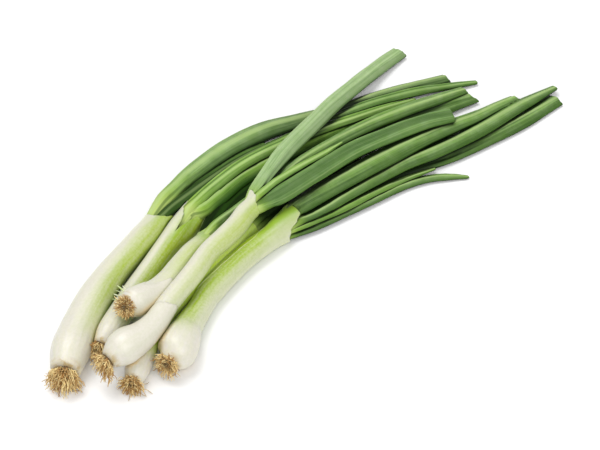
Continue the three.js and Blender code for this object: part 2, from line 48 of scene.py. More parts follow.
ONIONS = {
    "a": {
        "shank": [
            [-175.5, -15.8, 9.8, 16.5], [-166.5, -8, 10.3, 21.3], [-155, 0.5, 10, 20.5],
            [-134.5, 12.5, 9.6, 20], [-115.5, 21.5, 8.6, 17.5], [-97.5, 27.5, 8.1, 16.5],
            [-79, 34, 7.8, 15.5], [-68, 38.7, 7.6, 15],
        ],
        "leaves": [
            [
                [-71.5, 40.2, 7.4, 9], [-57.5, 46.7, 7, 11.5], [-45.5, 50.5, 6.5, 11.5],
                [-28, 54.2, 5.5, 13.5], [-1, 56.7, 4.5, 14.6], [27, 54, 3.5, 15],
                [50.5, 46.7, 2.6, 12], [76, 37.5, 2, 10], [103.5, 29.5, 1.8, 9.5],
                [127, 20.5, 1.6, 9], [148.5, 12, 1.4, 7.5],
            ],
            [
                [-71.5, 34.8, 8.8, 8], [-60, 36.8, 9.8, 8.5], [-45, 38.5, 9.2, 9],
                [-23, 41, 7, 9], [1, 42, 5.8, 8.5], [28, 39.5, 3.8, 8.5],
                [56.5, 33.5, 4.6, 8.5], [88.5, 27, 5, 8], [119, 16, 4.7, 7.5],
                [140, 6, 3.4, 6], [159, -3.5, 2, 3.5],
            ],
            [
                [-70.5, 36.5, 4.6, 6], [-50.5, 41.5, 5, 7], [-32, 45, 5, 7.5],
                [-9, 47.4, 3.6, 8], [7, 48.2, 2.8, 8], [20, 47.4, 2.2, 5],
            ],
        ],
    },
    "b": {
        "shank": [
            [-151, -15.3, 10.5, 9.5], [-145.5, -12.8, 10.5, 13], [-139.5, -9.5, 10, 14],
            [-128, -3.5, 8.5, 14], [-115, 3, 7.2, 14], [-98.5, 10, 6.9, 13.5],
            [-76.5, 19, 6.9, 13.8], [-63, 24.4, 7, 14.4], [-50.5, 29, 7, 14.6],
        ],
        "leaves": [
            [
                [-52.5, 26.4, 6.2, 11], [-46, 25.4, 7.2, 13], [-32, 27.8, 6.7, 14],
                [-12, 31, 5.5, 13.5], [11.5, 30, 4.5, 13], [32.5, 27, 4.1, 12],
                [59.5, 23, 3.5, 10.5], [81, 19, 2.9, 8.5], [100.5, 14.5, 2.3, 4.5],
            ],
            [
                [-54.5, 29.6, 9.2, 8], [-46, 31.2, 10, 8.5], [-30.5, 33.7, 10, 9],
                [-6, 36.5, 9.4, 8.5], [20, 35, 8.2, 8.5], [45.5, 30.5, 7.6, 8.5],
                [69, 24, 6.7, 7], [92.5, 18, 5.2, 6], [116.5, 11.5, 3.2, 3],
            ],
        ],
    },
    "c": {
        "shank": [
            [-131.5, -14, 25, 12.5], [-127.5, -13.7, 23.6, 16], [-121, -13.4, 21.6, 15.8],
            [-110.5, -12.2, 18.6, 13.8], [-100, -9.6, 17.2, 12.8], [-88, -5.2, 16, 12.6],
            [-73.5, -0.3, 14.3, 12.5], [-59.5, 3.2, 12.4, 12],
        ],
        "leaves": [
            [
                [-62.5, 4.6, 11.2, 8], [-51, 11.4, 8.6, 12], [-38, 17.4, 6, 13.5],
                [-22, 21.6, 4, 13.8], [2, 22, 3, 13], [34, 18, 2.7, 12], [68, 12.5, 2.3, 10],
                [102, 5.5, 1.7, 5],
            ],
            [
                [-63, 1.9, 12.8, 9], [-50, 5.2, 12.2, 11], [-32, 7.3, 10.6, 11],
                [-13.5, 8.5, 9.2, 12],
                [15, 8.5, 8.2, 13], [49, 7, 7.2, 13.5], [83, 2.5, 5.7, 14],
                [115, -4, 3.9, 14], [145.5, -12.5, 2.7, 9.5],
            ],
        ],
    },
    "d": {
        "shank": [
            [-158, -32.6, 20, 11.5], [-152.3, -32.4, 20.5, 17.3], [-146, -32, 20.6, 18.8],
            [-137, -32.4, 20.2, 15.8], [-125.6, -30, 19.8, 13], [-112, -24.5, 20, 12],
            [-89, -17.5, 20.4, 12], [-72, -11.2, 20.4, 11.7], [-60, -9, 19.9, 12.3],
            [-47, -6, 19.3, 12.5], [-36.5, -2.5, 19, 12.7], [-27, -1, 18.6, 12.7],
        ],
        "leaves": [
            [
                [-31, 1, 19.8, 7], [-20.5, 7, 19.5, 8.5], [-3.5, 14, 19.5, 9.5],
                [15.5, 20.5, 18.9, 11.5], [42.5, 28, 16.2, 12], [70.5, 36, 12.6, 12],
                [98, 42.4, 8.2, 12], [123.5, 47.8, 4.2, 12], [144, 50.4, 2.3, 11.3],
            ],
            [
                [-30, -3, 18.4, 8], [-22.5, -4, 19.5, 12], [-12, -5.4, 19.9, 14.4],
                [10.5, -6, 19.8, 14.4], [43.5, -6.3, 18.3, 14.4], [73, -11.4, 17.2, 14],
                [97, -17, 16, 13.4], [114.5, -23, 14.2, 12.4],
            ],
            [
                [-30, 0.5, 15.6, 6.5], [-18.5, 4, 16, 7.5], [-3.5, 6, 16.3, 8.5],
                [17, 9, 15.2, 9], [41.5, 10, 13.1, 8.5], [70, 8, 11.9, 9],
                [95.5, 3.5, 10.9, 9.5], [121.5, -2, 8.8, 8.5], [144, -7, 6.6, 6],
            ],
            [
                [-29, 0.5, 22, 4.5], [-19, 2.5, 21.2, 5], [-3.5, 4, 20.6, 5],
                [16.5, 3.5, 20, 4.6], [32, 2.5, 19.4, 3.8], [43, 2.5, 19, 1.8],
            ],
        ],
    },
    "e": {
        "shank": [
            [-152.3, -42.9, 6.6, 9.5], [-147.5, -40, 6.7, 13], [-140, -35, 6.7, 13.4],
            [-131, -29, 6.8, 12.4], [-118.5, -22.7, 7.4, 11.5], [-96, -15.9, 8.2, 11.9],
            [-68, -9.6, 8.4, 12.2], [-50.5, -6.8, 8, 12.2], [-35, -4.8, 7.2, 12],
        ],
        "leaves": [
            [
                [-37, -5.2, 5, 7.5], [-25.5, -3.7, 4.3, 8.5], [-10, -2.2, 3.1, 10],
                [19, -3, 2.5, 11], [50, -8, 2.3, 11], [75, -14, 2.2, 11],
                [98, -19.5, 2.1, 10], [116, -25, 1.8, 6.5],
            ],
            [
                [-37, -4.4, 9, 7], [-26, -1.8, 8.8, 7.5], [-12.5, -0.3, 7.9, 8],
                [17.5, 1, 6.6, 8], [48, -1, 5.8, 7], [70.5, -5, 5.4, 4],
            ],
        ],
    },
    "f": {
        "shank": [
            [-132.5, -49, 10.6, 11.5], [-126, -47, 10.4, 21.2], [-117, -41.5, 9.9, 20],
            [-110, -37, 8.6, 16.5], [-98, -31.5, 7.4, 14], [-86.5, -26.5, 6.8, 13.5],
            [-69.5, -22, 6.8, 13.5], [-52, -19, 6.8, 13], [-36, -18, 7, 13.4],
            [-15.5, -17.2, 7.4, 14.5],
        ],
        "leaves": [
            [
                [-21, -14.5, 10.4, 8.5], [-9.5, -13, 11, 11.5], [-1, -13.5, 11.6, 13.5],
                [24.5, -16, 12.4, 14], [63, -19.7, 12.1, 15], [96, -23.8, 10.9, 13.4],
                [127, -29.8, 8.5, 10], [147.5, -32, 6.8, 8], [163, -34, 5.4, 7],
            ],
            [
                [-22, -17.5, 7.2, 7.5], [-9.5, -19, 7.4, 8], [-2.5, -21, 7.8, 8],
                [10, -22.5, 7.8, 9], [25.5, -23.5, 7.6, 10], [64, -27.5, 7.8, 12],
                [91.5, -34, 7.6, 12], [124, -38.6, 7, 12.5], [159.5, -40.2, 5.8, 11.5],
                [190, -43, 4, 5.5],
            ],
            [
                [-22, -15.5, 3.8, 7], [-9, -18, 3.6, 8.5], [15, -18.5, 2.9, 9.5],
                [38, -20.5, 2.5, 10.5], [65, -27, 2.3, 11], [90.5, -37, 2.2, 11],
                [119, -43, 2.1, 11.5], [151.5, -47.3, 2, 13], [184, -49.6, 1.7, 11.2],
            ],
            [
                [-24, -19.8, 3.6, 5.5], [-17, -21.8, 3, 6.5], [-6, -24.8, 2.6, 7.5],
                [17, -29.5, 2.3, 7.5], [42.5, -34, 2.1, 7.5], [60, -37.3, 1.8, 7.5],
                [74, -43.4, 1.6, 6.6], [84, -50.3, 1.4, 5.6], [91.6, -57, 1, 3.2],
            ],
            [
                [-22.5, -20.5, 6.6, 3.5], [-13, -22.5, 6.2, 4.5], [1, -25.2, 5.7, 5.2],
                [19, -28.4, 5.2, 5.8], [38.5, -30.8, 4.7, 5.8], [58, -34.4, 4.2, 5],
                [80, -40.2, 3.2, 2.6],
            ],
        ],
    },
}

# The pile from the table up. A piece gives way to everything named before it.
PILE = [
    "a_shank", "b_shank", "e_shank", "f_shank", "c_shank", "d_shank",
    "f_leaf_3", "f_leaf_4", "f_leaf_5", "e_leaf_1", "e_leaf_2", "f_leaf_2", "f_leaf_1",
    "a_leaf_3", "a_leaf_1", "a_leaf_2", "b_leaf_1", "b_leaf_2", "c_leaf_1", "c_leaf_2",
    "d_leaf_3", "d_leaf_2", "d_leaf_4", "d_leaf_1",
]

# ------------------------------------------------------------------ sizes

LEAF_STEPS = 9                # rings between two rows of a leaf's route
SHANK_STEPS = 14              # and of a shank's
LEAF_FLAT = 0.42              # thickness over width of an open leaf
LEAF_NECK = 0.80              # the same where the leaf leaves the shank
NECK_SHARE = 0.15             # share of the leaf that is rounder, next to the shank
NECK_BACK = 30 * MM           # how far a leaf's neck runs back inside the shank
NECK_GATHER = 0.8             # how far from the shank's middle it runs there, over its start
LEAF_SIDES = 64
SHANK_SIDES = 96
CLEAR = 0.12 * MM             # air left between two pieces that press on each other
FLOOR_CLEAR = 0.05 * MM

# How each leaf differs: its end, how far the cut leans (mm), the ridges along it and their
# depth (mm), how sharp its edges are, how it rolls from foot to tip (degrees, to its left),
# and its creases as turn and width (degrees, 90 on top) and depth (mm, below 0 for a keel).
LEAF_FORMS = {
    "a_leaf_1": dict(end="cut", lean=-1.3, ribs=5, depth=0.10, edge=1.0, roll=(0, 8),
                     creases=[(75, 14, -0.7), (118, 10, 0.35)], finish="leaf_soft"),
    # a's second and third leaves take the finish with painted shade on their first part.
    "a_leaf_2": dict(end="blunt", lean=0, ribs=5, depth=0.08, edge=1.1, roll=(-10, 5),
                     creases=[(95, 14, -0.6), (60, 10, 0.3)], finish="leaf_shaded"),
    "a_leaf_3": dict(end="point", lean=0, ribs=3, depth=0.08, edge=1.2, roll=(0, 0),
                     creases=[(90, 20, 0.3)], finish="leaf_shaded"),
    "b_leaf_1": dict(end="point", lean=0, ribs=5, depth=0.10, edge=1.0, roll=(-8, -4),
                     creases=[(80, 12, -0.6), (125, 10, 0.4)], finish="leaf_sided"),
    "b_leaf_2": dict(end="point", lean=0, ribs=4, depth=0.10, edge=1.1, roll=(0, 6),
                     creases=[(100, 12, -0.5), (65, 8, 0.3)], finish="leaf_young"),
    # c's first leaf is painted nearly black, as painted shade for the dark gap it lies in.
    "c_leaf_1": dict(end="point", lean=0, ribs=5, depth=0.12, edge=1.0, roll=(0, 0),
                     creases=[(90, 12, 0.3)], finish="leaf_shadow_black"),
    "c_leaf_2": dict(end="cut", lean=-2.8, ribs=6, depth=0.12, edge=1.1, roll=(4, 8),
                     creases=[(70, 12, -0.6), (112, 12, 0.6)], finish="leaf_green"),
    "d_leaf_1": dict(end="cut", lean=-0.6, ribs=9, depth=0.17, edge=1.05, roll=(6, 0),
                     creases=[(122, 14, 0.35)], finish="leaf_pale"),
    "d_leaf_2": dict(end="cut", lean=1.2, ribs=3, depth=0.08, edge=1.0, roll=(-12, -4),
                     creases=[(92, 34, 0.7), (138, 9, -0.25)], finish="leaf_waxy"),
    "d_leaf_3": dict(end="cut", lean=-1.0, ribs=4, depth=0.10, edge=1.1, roll=(8, 10),
                     creases=[(82, 12, -0.5), (120, 10, 0.35)], finish="leaf_green"),
    "d_leaf_4": dict(end="point", lean=0, ribs=2, depth=0.06, edge=1.2, roll=(0, 0),
                     creases=[(90, 20, -0.3)], finish="leaf_young"),
    "e_leaf_1": dict(end="point", lean=0, ribs=5, depth=0.12, edge=1.0, roll=(0, 0),
                     creases=[(90, 12, 0.3)], finish="leaf_young"),
    "e_leaf_2": dict(end="point", lean=0, ribs=4, depth=0.12, edge=1.0, roll=(0, 0),
                     creases=[(90, 12, 0.3)], finish="leaf_young"),
    "f_leaf_1": dict(end="cut", lean=-1.8, ribs=5, depth=0.12, edge=1.0, roll=(-4, 4),
                     creases=[(78, 11, -0.7), (128, 10, 0.4)], finish="leaf_green"),
    "f_leaf_2": dict(end="blunt", lean=0, ribs=5, depth=0.12, edge=1.15, roll=(-6, -10),
                     creases=[(96, 12, -0.6), (60, 10, 0.35)], finish="leaf_green"),
    "f_leaf_3": dict(end="cut", lean=-0.8, ribs=4, depth=0.12, edge=1.15, roll=(-5, 4),
                     creases=[(84, 10, -0.5), (120, 10, 0.5)], finish="leaf_green"),
    "f_leaf_4": dict(end="point", lean=0, ribs=3, depth=0.10, edge=1.0, roll=(-6, -6),
                     creases=[(92, 12, -0.5)], finish="leaf_green"),
    "f_leaf_5": dict(end="point", lean=0, ribs=2, depth=0.06, edge=1.2, roll=(0, 0),
                     creases=[(90, 16, -0.3)], finish="leaf_young"),
}

# The collar of each sheath as turn (degrees, 0 on its left, 90 on top) and reach (mm past the
# end of the shank's route). The edge runs smoothly between them and round the back.
COLLARS = {
    "a": [(22, -4.1), (72, -4.4), (120, -3.6), (144, -2.1), (164, 1.1), (230, 1.0), (310, -3.0)],
    "b": [(0, -6.0), (10, 0.5), (21, 2.4), (28, 0.2), (50, -4.6), (76, -8.6), (95, -13.5),
          (102, -18.0), (106, -25.0), (110, -20.5), (118, -17.0), (138, -9.8), (156, -4.9),
          (170, -1.5), (180, 4.2), (192, 1.0), (230, -3.0), (320, -8.0)],
    "c": [(40, -1.0), (80, -4.0), (120, -2.5), (200, 0.5), (300, -1.0)],
    "d": [(16, 4.4), (52, 2.1), (116, -2.6), (156, -4.6), (192, -5.6), (250, -3.0), (320, 3.0)],
    "e": [(0, 0.5), (90, 0.5), (160, 1.0), (195, 2.0), (230, 0.0), (300, 0.0)],
    "f": [(0, 3.0), (60, 6.0), (100, 6.0), (136, 1.7), (166, -5.1), (192, -8.3), (240, -7.0),
          (300, -2.0)],
}

# Loose outer skins that still cover part of a shank: where each one's upper edge runs, as turn
# (degrees) and length from the root end (mm).
OUTER_SKINS = {
    "c": [(20, 17.0), (50, 17.5), (80, 13.5), (92, 15.5), (100, 21.3), (110, 26.8), (122, 30.5),
          (200, 31.0), (260, 25.0), (320, 20.0)],
    "d": [(30, 41.0), (78, 42.8), (112, 44.0), (166, 47.0), (220, 45.0), (300, 41.0)],
}

# Where a sheath stands off from its onion: the turn and half width (degrees), between which
# places (mm ahead of the route's end) it comes and goes again, and how far it stands off (mm).
FLARES = {
    "a": (205, 60, (-34, -14), (20, 30), 1.7),
    "b": (212, 66, (-36, -12), (30, 40), 3.1),
    "c": (335, 60, (-24, -10), (20, 30), 1.5),
    "f": (42, 48, (-84, -62), (-32, -14), 1.5),
}

# The root tufts: how many threads, how far they reach (mm), how they fan out and sag, the
# threads' radius (mm), how long the inner ones are beside the outer (share), how the tuft is
# turned away from the shank's own direction, and how far it stands off its plate (mm).
TUFTS = {
    "a": dict(count=250, reach=8.8, spread=0.85, droop=0.50, thread=0.34, core=1.45,
              tilt=(0, 0, 0), lift=0, seed=11),
    "b": dict(count=120, reach=8.2, spread=0.95, droop=0.75, thread=0.31, core=0.9,
              tilt=(0, 0, 0), lift=0, seed=23),
    "c": dict(count=190, reach=4.0, spread=1.20, droop=0.05, thread=0.28, core=0.45,
              tilt=(0.05, -0.3, 0.25), lift=0.7, seed=37),
    "d": dict(count=170, reach=8.0, spread=0.95, droop=0.65, thread=0.33, core=1.0,
              tilt=(0, 0, 0), lift=0, seed=41),
    "e": dict(count=170, reach=6.6, spread=1.10, droop=0.35, thread=0.32, core=0.6,
              tilt=(0, -0.1, 0.2), lift=0, seed=53),
    "f": dict(count=180, reach=6.0, spread=1.15, droop=0.30, thread=0.31, core=0.45,
              tilt=(0, -0.15, 0.25), lift=0, seed=67),
}

# The dry margin of F's sheath, as turn (degrees) and length from the root end (mm).
MARGIN = [(40, 50.0), (50, 54.0), (58, 58.8), (64, 68.3), (68, 76.5), (68, 85.3), (70, 92.3),
          (68, 97.3), (60, 100.5), (50, 101.0)]

MARGIN_LIFT = 0.15 * MM
MARGIN_RADIUS = 0.24 * MM

# Single frayed fibres: the onion, the thickest radius (mm), the finish, and the route.
FIBRES = [
    ("c", 0.55, "fray", [[-127.5, -8.2, 27.0], [-128.2, -5.3, 28.8], [-128.6, -2.8, 29.5]]),
    ("c", 0.30, "fray", [[-126.3, -8.2, 27.6], [-126.6, -5.9, 29.0], [-126.7, -4.7, 29.6]]),
    ("c", 0.40, "fray", [[-130.8, -8.9, 26.3], [-132.0, -7.0, 27.6], [-133.2, -5.1, 28.2]]),
    ("c", 0.30, "fray", [[-132.2, -9.4, 24.8], [-133.5, -7.2, 25.6], [-135.0, -5.7, 26.0]]),
    ("c", 0.25, "fray", [[-129.0, -8.2, 27.0], [-130.1, -5.9, 28.4], [-131.1, -4.7, 29.0]]),
    ("e", 0.22, "straw", [[-152.5, -45.0, 3.6], [-149.1, -50.1, 1.6], [-148.1, -53.7, 0.7]]),
    ("e", 0.20, "straw", [[-153.7, -45.9, 3.0], [-152.5, -50.9, 1.2], [-151.3, -52.7, 0.6]]),
    ("e", 0.22, "straw", [[-156.0, -44.5, 3.2], [-158.5, -47.1, 1.2], [-160.3, -48.4, 0.6]]),
    ("e", 0.20, "straw", [[-151.5, -44.6, 4.2], [-147.4, -47.1, 2.4], [-145.2, -47.0, 2.0]]),
    ("f", 0.28, "straw", [[-131.8, -43.5, 6.6], [-132.2, -39.7, 5.2], [-132.7, -37.2, 4.2]]),
    ("f", 0.25, "straw", [[-133.0, -44.6, 5.6], [-133.6, -41.7, 4.0], [-134.8, -40.9, 3.0]]),
    ("f", 0.22, "straw", [[-133.5, -45.8, 4.6], [-135.4, -45.0, 2.6], [-136.6, -45.5, 1.6]]),
    ("a", 0.25, "straw", [[-181.0, -12.0, 5.5], [-185.2, -9.3, 3.4], [-187.0, -8.4, 2.4]]),
    ("a", 0.25, "straw", [[-182.5, -14.2, 4.0], [-186.4, -13.3, 2.0], [-188.4, -13.0, 1.2]]),
    ("a", 0.25, "straw", [[-173.5, -19.5, 5.4], [-171.6, -23.2, 3.0], [-172.0, -25.6, 2.0]]),
    ("b", 0.30, "straw", [[-151.8, -13.2, 9.0], [-155.2, -13.1, 6.5], [-158.3, -15.1, 5.0]]),
    ("b", 0.28, "straw", [[-152.4, -14.6, 8.0], [-156.7, -16.6, 5.0], [-161.0, -19.3, 3.5]]),
]
BASE_DEPTH = 1.4 * MM         # how far a root plate lies ahead of its bulb's first row
ROOT_PLATE = 0.42             # radius of the root plate over the bulb's first width

# The ends of the pieces as rows of scale and shift along the route (mm). A third value says how
# far the ring counts as the inside, or which marks it has.
LEAF_FOOT = [(0.0, -0.6), (0.8, -0.4)]
CUT_RINGS = 8                 # rings over which a slanting cut leans
CUT_END = [(0.97, 0.15, 0.3), (0.90, 0.15, 1.0), (0.80, -0.2, 1.0), (0.74, -3.0, 1.0),
           (0.0, -4.5, 1.0)]
TIP_SCALES = (0.93, 0.78, 0.55, 0.28, 0.0)
TIP_REACH = {"blunt": 1.6, "point": 2.2}    # how far a closed tip goes past its route (mm)
SHANK_BASE = [(0.0, -1.3), (0.38, -1.4), (0.5, -1.55), (0.66, -1.45), (0.8, -1.05), (0.92, -0.5)]
BASE_SHARE = -0.01            # the share that the base's rings carry
# On the collar's rim, past is how far the ring lies past the edge (mm), and inset how deep.
COLLAR_RIM = [
    (1.0, 0.2, dict(past=0.15, inset=0.0)),
    (0.98, 0.3, dict(past=0.25, inset=0.15, inner=0.4)),
    (0.94, 0.2, dict(past=0.15, inset=0.35, inner=1.0)),
    (0.90, -1.5, dict(past=-1.5, inset=0.55, inner=1.0)),
    (0.80, -4.0, dict(past=-4.0, inset=1.4, inner=1.0)),
    (0.0, -5.0, dict(inner=1.0)),
]

# ------------------------------------------------------------------ routes as stations


def through(points, share):
    """The smooth curve through points, read at a share of its length from 0 to 1."""
    spans = len(points) - 1
    at = min(max(share, 0.0), 1.0) * spans
    k = min(int(at), spans - 1)
    t = at - k
    before = points[k - 1] if k else 2 * points[0] - points[1]
    after = points[k + 2] if k + 2 <= spans else 2 * points[-1] - points[-2]
    p, q = points[k], points[k + 1]
    m0, m1 = (q - before) / 2, (after - p) / 2
    return (p + m0 * t + (3 * (q - p) - 2 * m0 - m1) * t * t
            + (2 * (p - q) + m0 + m1) * t * t * t)


def rows_of(name):
    letter, kind, *number = name.split("_")
    onion = ONIONS[letter]
    return onion["shank"] if kind == "shank" else onion["leaves"][int(number[0]) - 1]


def leaf_flat(share):
    return LEAF_NECK + (LEAF_FLAT - LEAF_NECK) * min(share / NECK_SHARE, 1.0)


def station(points, widths, share, flat):
    """Place, directions and half sizes of a piece's section at a share of its route."""
    ahead = through(points, share + 1e-3) - through(points, share - 1e-3)
    along = ahead / np.linalg.norm(ahead)
    side = np.cross([0, 0, 1], along)
    side /= np.linalg.norm(side)
    half = through(widths, share)[0] / 2
    return dict(middle=through(points, share), along=along, side=side, up=np.cross(along, side),
                wide=half, thick=half * flat(share), share=share, inner=0.0, lean=0.0)


def moved(source, scale=1.0, shift=0.0, **changes):
    """A copy of a station, scaled and moved along the route."""
    made = dict(source)
    made["wide"] = source["wide"] * scale
    made["thick"] = source["thick"] * scale
    made["middle"] = source["middle"] + source["along"] * shift
    made.update(changes)
    return made


def route_of(name, flat, per_span):
    rows = np.array(rows_of(name), float) * MM
    points, widths = rows[:, :3] - MIDDLE * MM, rows[:, 3:]
    steps = (len(rows) - 1) * per_span
    return [station(points, widths, k / steps, flat) for k in range(steps + 1)]


def round_section(share):
    return 1.0


def leaf_body(name):
    """The leaf's own route, rolled, and a neck that runs back inside the shank."""
    roll_from, roll_to = LEAF_FORMS[name]["roll"]
    body = route_of(name, leaf_flat, LEAF_STEPS)
    for part in body:
        roll = math.radians(roll_from + (roll_to - roll_from) * part["share"])
        side, up = part["side"], part["up"]
        part["side"] = side * math.cos(roll) + up * math.sin(roll)
        part["up"] = up * math.cos(roll) - side * math.sin(roll)
    shank = route_of(name[0] + "_shank", round_section, SHANK_STEPS)
    start = body[0]
    nearest = min(range(len(shank)),
                  key=lambda k: np.linalg.norm(shank[k]["middle"] - start["middle"]))
    back = []
    for part in shank[:nearest]:
        off = (start["middle"] - shank[nearest]["middle"]) * NECK_GATHER
        if np.linalg.norm(part["middle"] - shank[nearest]["middle"]) < NECK_BACK:
            back.append(dict(start, middle=part["middle"] + off, share=0.0))
    return back[:-1] + body


def leaf_stations(name):
    form = LEAF_FORMS[name]
    body = leaf_body(name)
    start, end = body[0], body[-1]
    closing = [moved(start, scale, shift * MM) for scale, shift in LEAF_FOOT]
    lean = form["lean"] * MM
    if form["end"] == "cut":
        for k, part in enumerate(body[-CUT_RINGS:]):
            part["lean"] = lean * (k / (CUT_RINGS - 1)) ** 2
        tip = [moved(end, scale, shift * MM, inner=inner) for scale, shift, inner in CUT_END]
    else:
        reach = TIP_REACH[form["end"]]
        tip = [moved(end, scale, reach * MM * (1 - scale * scale) ** 0.5) for scale in TIP_SCALES]
    return closing + body + tip


def shank_stations(name):
    """The stations of a shank. Those of the rim say how far past the collar they lie, and how
    far inside the sheath."""
    body = route_of(name, round_section, SHANK_STEPS)
    start, end = body[0], body[-1]
    base = [moved(start, scale, shift * MM, share=BASE_SHARE) for scale, shift in SHANK_BASE]
    rim = [moved(end, scale, shift * MM, **marks) for scale, shift, marks in COLLAR_RIM]
    return base + body + rim


# ------------------------------------------------------------------ sheaths

SHEATH_STEP = 0.5 * MM
SHEATH_AHEAD = 28 * MM        # how far past the end of its route a sheath can follow its leaves
HUG_FROM, HUG_TO = -20 * MM, -2 * MM    # between these a round shank takes its leaves' outline
DRESS_FROM = -90 * MM         # where the shank's rings start to lean towards the collar's edge
HUG_LEAVES = -3 * MM          # where that outline is first read
HUG = 0.3 * MM                # the sheath's own thickness over the leaves
SMOOTH_OVER = 1.5 * MM        # the sheath's outline is evened out over this much either way

SKIN_ROWS = 44
SKIN_LOW = 0.4 * MM           # where a loose skin starts, from the root end
SKIN_LIFT = 0.04 * MM         # air between it and the shank
SKIN_THICK = 0.26 * MM
FIBRE_SIDES = 6
FIBRE_STEPS = 4               # rings between two rows of a fibre's route


def smooth(value, low, high):
    t = np.clip((value - low) / (high - low), 0, 1)
    return t * t * (3 - 2 * t)


def along_loop(points, turn):
    """The value at a turn (degrees) on the smooth closed line through (turn, value) points."""
    turns, values = np.array(points, float).T
    turns = np.concatenate([turns - 360, turns, turns + 360])
    values = np.tile(values, 3)
    turn = np.asarray(turn, float) % 360
    k = np.searchsorted(turns, turn, side="right") - 1
    t = smooth(turn, turns[k], turns[k + 1])
    return values[k] * (1 - t) + values[k + 1] * t


class Sheath:
    """The outside of one shank: places by the distance ahead of the end of its route (negative
    on the shank), the turn round it and the height above it. Past the end it follows the
    outline that its leaves have together."""

    def __init__(self, letter):
        body = route_of(f"{letter}_shank", round_section, SHANK_STEPS)
        middles = np.array([s["middle"] for s in body])
        run = np.append(0, np.cumsum(np.linalg.norm(np.diff(middles, axis=0), axis=1)))
        self.length = run[-1]
        self.ahead = run - run[-1]
        self.share = np.array([s["share"] for s in body])
        self.rows = np.arange(self.ahead[0], SHEATH_AHEAD, SHEATH_STEP)
        on = np.minimum(self.rows, 0)

        def read(values):
            columns = np.array(values).T
            return np.stack([np.interp(on, self.ahead, column) for column in columns], 1)

        end = body[-1]
        self.side, self.up = read([s["side"] for s in body]), read([s["up"] for s in body])
        self.middle = read(middles) + np.maximum(self.rows, 0)[:, None] * end["along"]
        along = np.cross(self.side, self.up)
        half = np.interp(on, self.ahead, [s["wide"] for s in body])
        turns = np.arange(SHANK_SIDES) * math.tau / SHANK_SIDES
        leaves = [leaf_body(name) for name in PILE if name.startswith(f"{letter}_leaf")]
        outline = None
        self.radius = np.empty((len(self.rows), SHANK_SIDES))
        facing = 1 / np.maximum(np.cos(turns[:, None] - turns[None]), 1e-6)
        facing[np.cos(turns[:, None] - turns[None]) < 0.05] = np.inf
        for k in range(len(self.rows) - 1, -1, -1):
            ways = (np.cos(turns)[:, None] * self.side[k] + np.sin(turns)[:, None] * self.up[k])
            if self.rows[k] > HUG_LEAVES or outline is None:
                found = self.outline_of(leaves, self.middle[k], along[k], ways)
                outline = outline if found is None else found
            hug = smooth(self.rows[k], HUG_FROM, HUG_TO)
            support = half[k] * (1 - hug) + outline * hug
            shift = [(support * np.cos(turns)).mean() * 2, (support * np.sin(turns)).mean() * 2]
            inner = support - shift[0] * np.cos(turns) - shift[1] * np.sin(turns)
            self.middle[k] = self.middle[k] + shift[0] * self.side[k] + shift[1] * self.up[k]
            self.radius[k] = (inner[:, None] * facing).min(0)
        reach = int(SMOOTH_OVER / SHEATH_STEP)
        padded = np.pad(self.radius, ((reach, reach), (0, 0)), mode="edge")
        window = 2 * reach + 1
        self.radius = sum(padded[k:k + len(self.rows)] for k in range(window)) / window
        if letter in FLARES:
            middle, width, comes, goes, height = FLARES[letter]
            off = np.abs((np.degrees(turns) - middle + 180) % 360 - 180)
            along = (smooth(self.rows, comes[0] * MM, comes[1] * MM)
                     * (1 - smooth(self.rows, goes[0] * MM, goes[1] * MM)))
            self.radius += height * MM * along[:, None] * (1 - smooth(off, 0, width))[None]

    def outline_of(self, leaves, place, along, ways):
        """How far the leaves reach each way in the plane through place."""
        reaches = []
        for stations in leaves:
            ahead = np.array([(s["middle"] - place) @ along for s in stations])
            crossing = np.flatnonzero((ahead[:-1] < 0) & (ahead[1:] >= 0))
            if len(crossing):
                k = crossing[0]
                t = ahead[k] / (ahead[k] - ahead[k + 1])
                leaf = {key: stations[k][key] * (1 - t) + stations[k + 1][key] * t
                        for key in ("middle", "side", "up", "wide", "thick")}
                reaches.append((leaf["middle"] - place) @ ways.T + np.hypot(
                    leaf["wide"] * (ways @ leaf["side"]), leaf["thick"] * (ways @ leaf["up"])))
        return np.max(reaches, axis=0) + HUG if reaches else None

    def places(self, ahead, turn, height):
        """Places for arrays of distances ahead, turns (radians) and heights."""
        row = np.clip((ahead - self.rows[0]) / SHEATH_STEP, 0, len(self.rows) - 1.001)
        k, t = row.astype(int), (row % 1)[:, None]
        column = (turn / math.tau * SHANK_SIDES) % SHANK_SIDES
        c = column.astype(int) % SHANK_SIDES
        d, f = (c + 1) % SHANK_SIDES, column % 1

        def read(values):
            return values[k] * (1 - t) + values[k + 1] * t

        near = self.radius[k, c] * (1 - f) + self.radius[k, d] * f
        far = self.radius[k + 1, c] * (1 - f) + self.radius[k + 1, d] * f
        radius = near * (1 - t[:, 0]) + far * t[:, 0] + height
        return (read(self.middle) + read(self.side) * (radius * np.cos(turn))[:, None]
                + read(self.up) * (radius * np.sin(turn))[:, None])


def smooth_and_dress(mesh, finish):
    mesh.polygons.foreach_set("use_smooth", [True] * len(mesh.polygons))
    mesh.materials.append(finish)
    return mesh


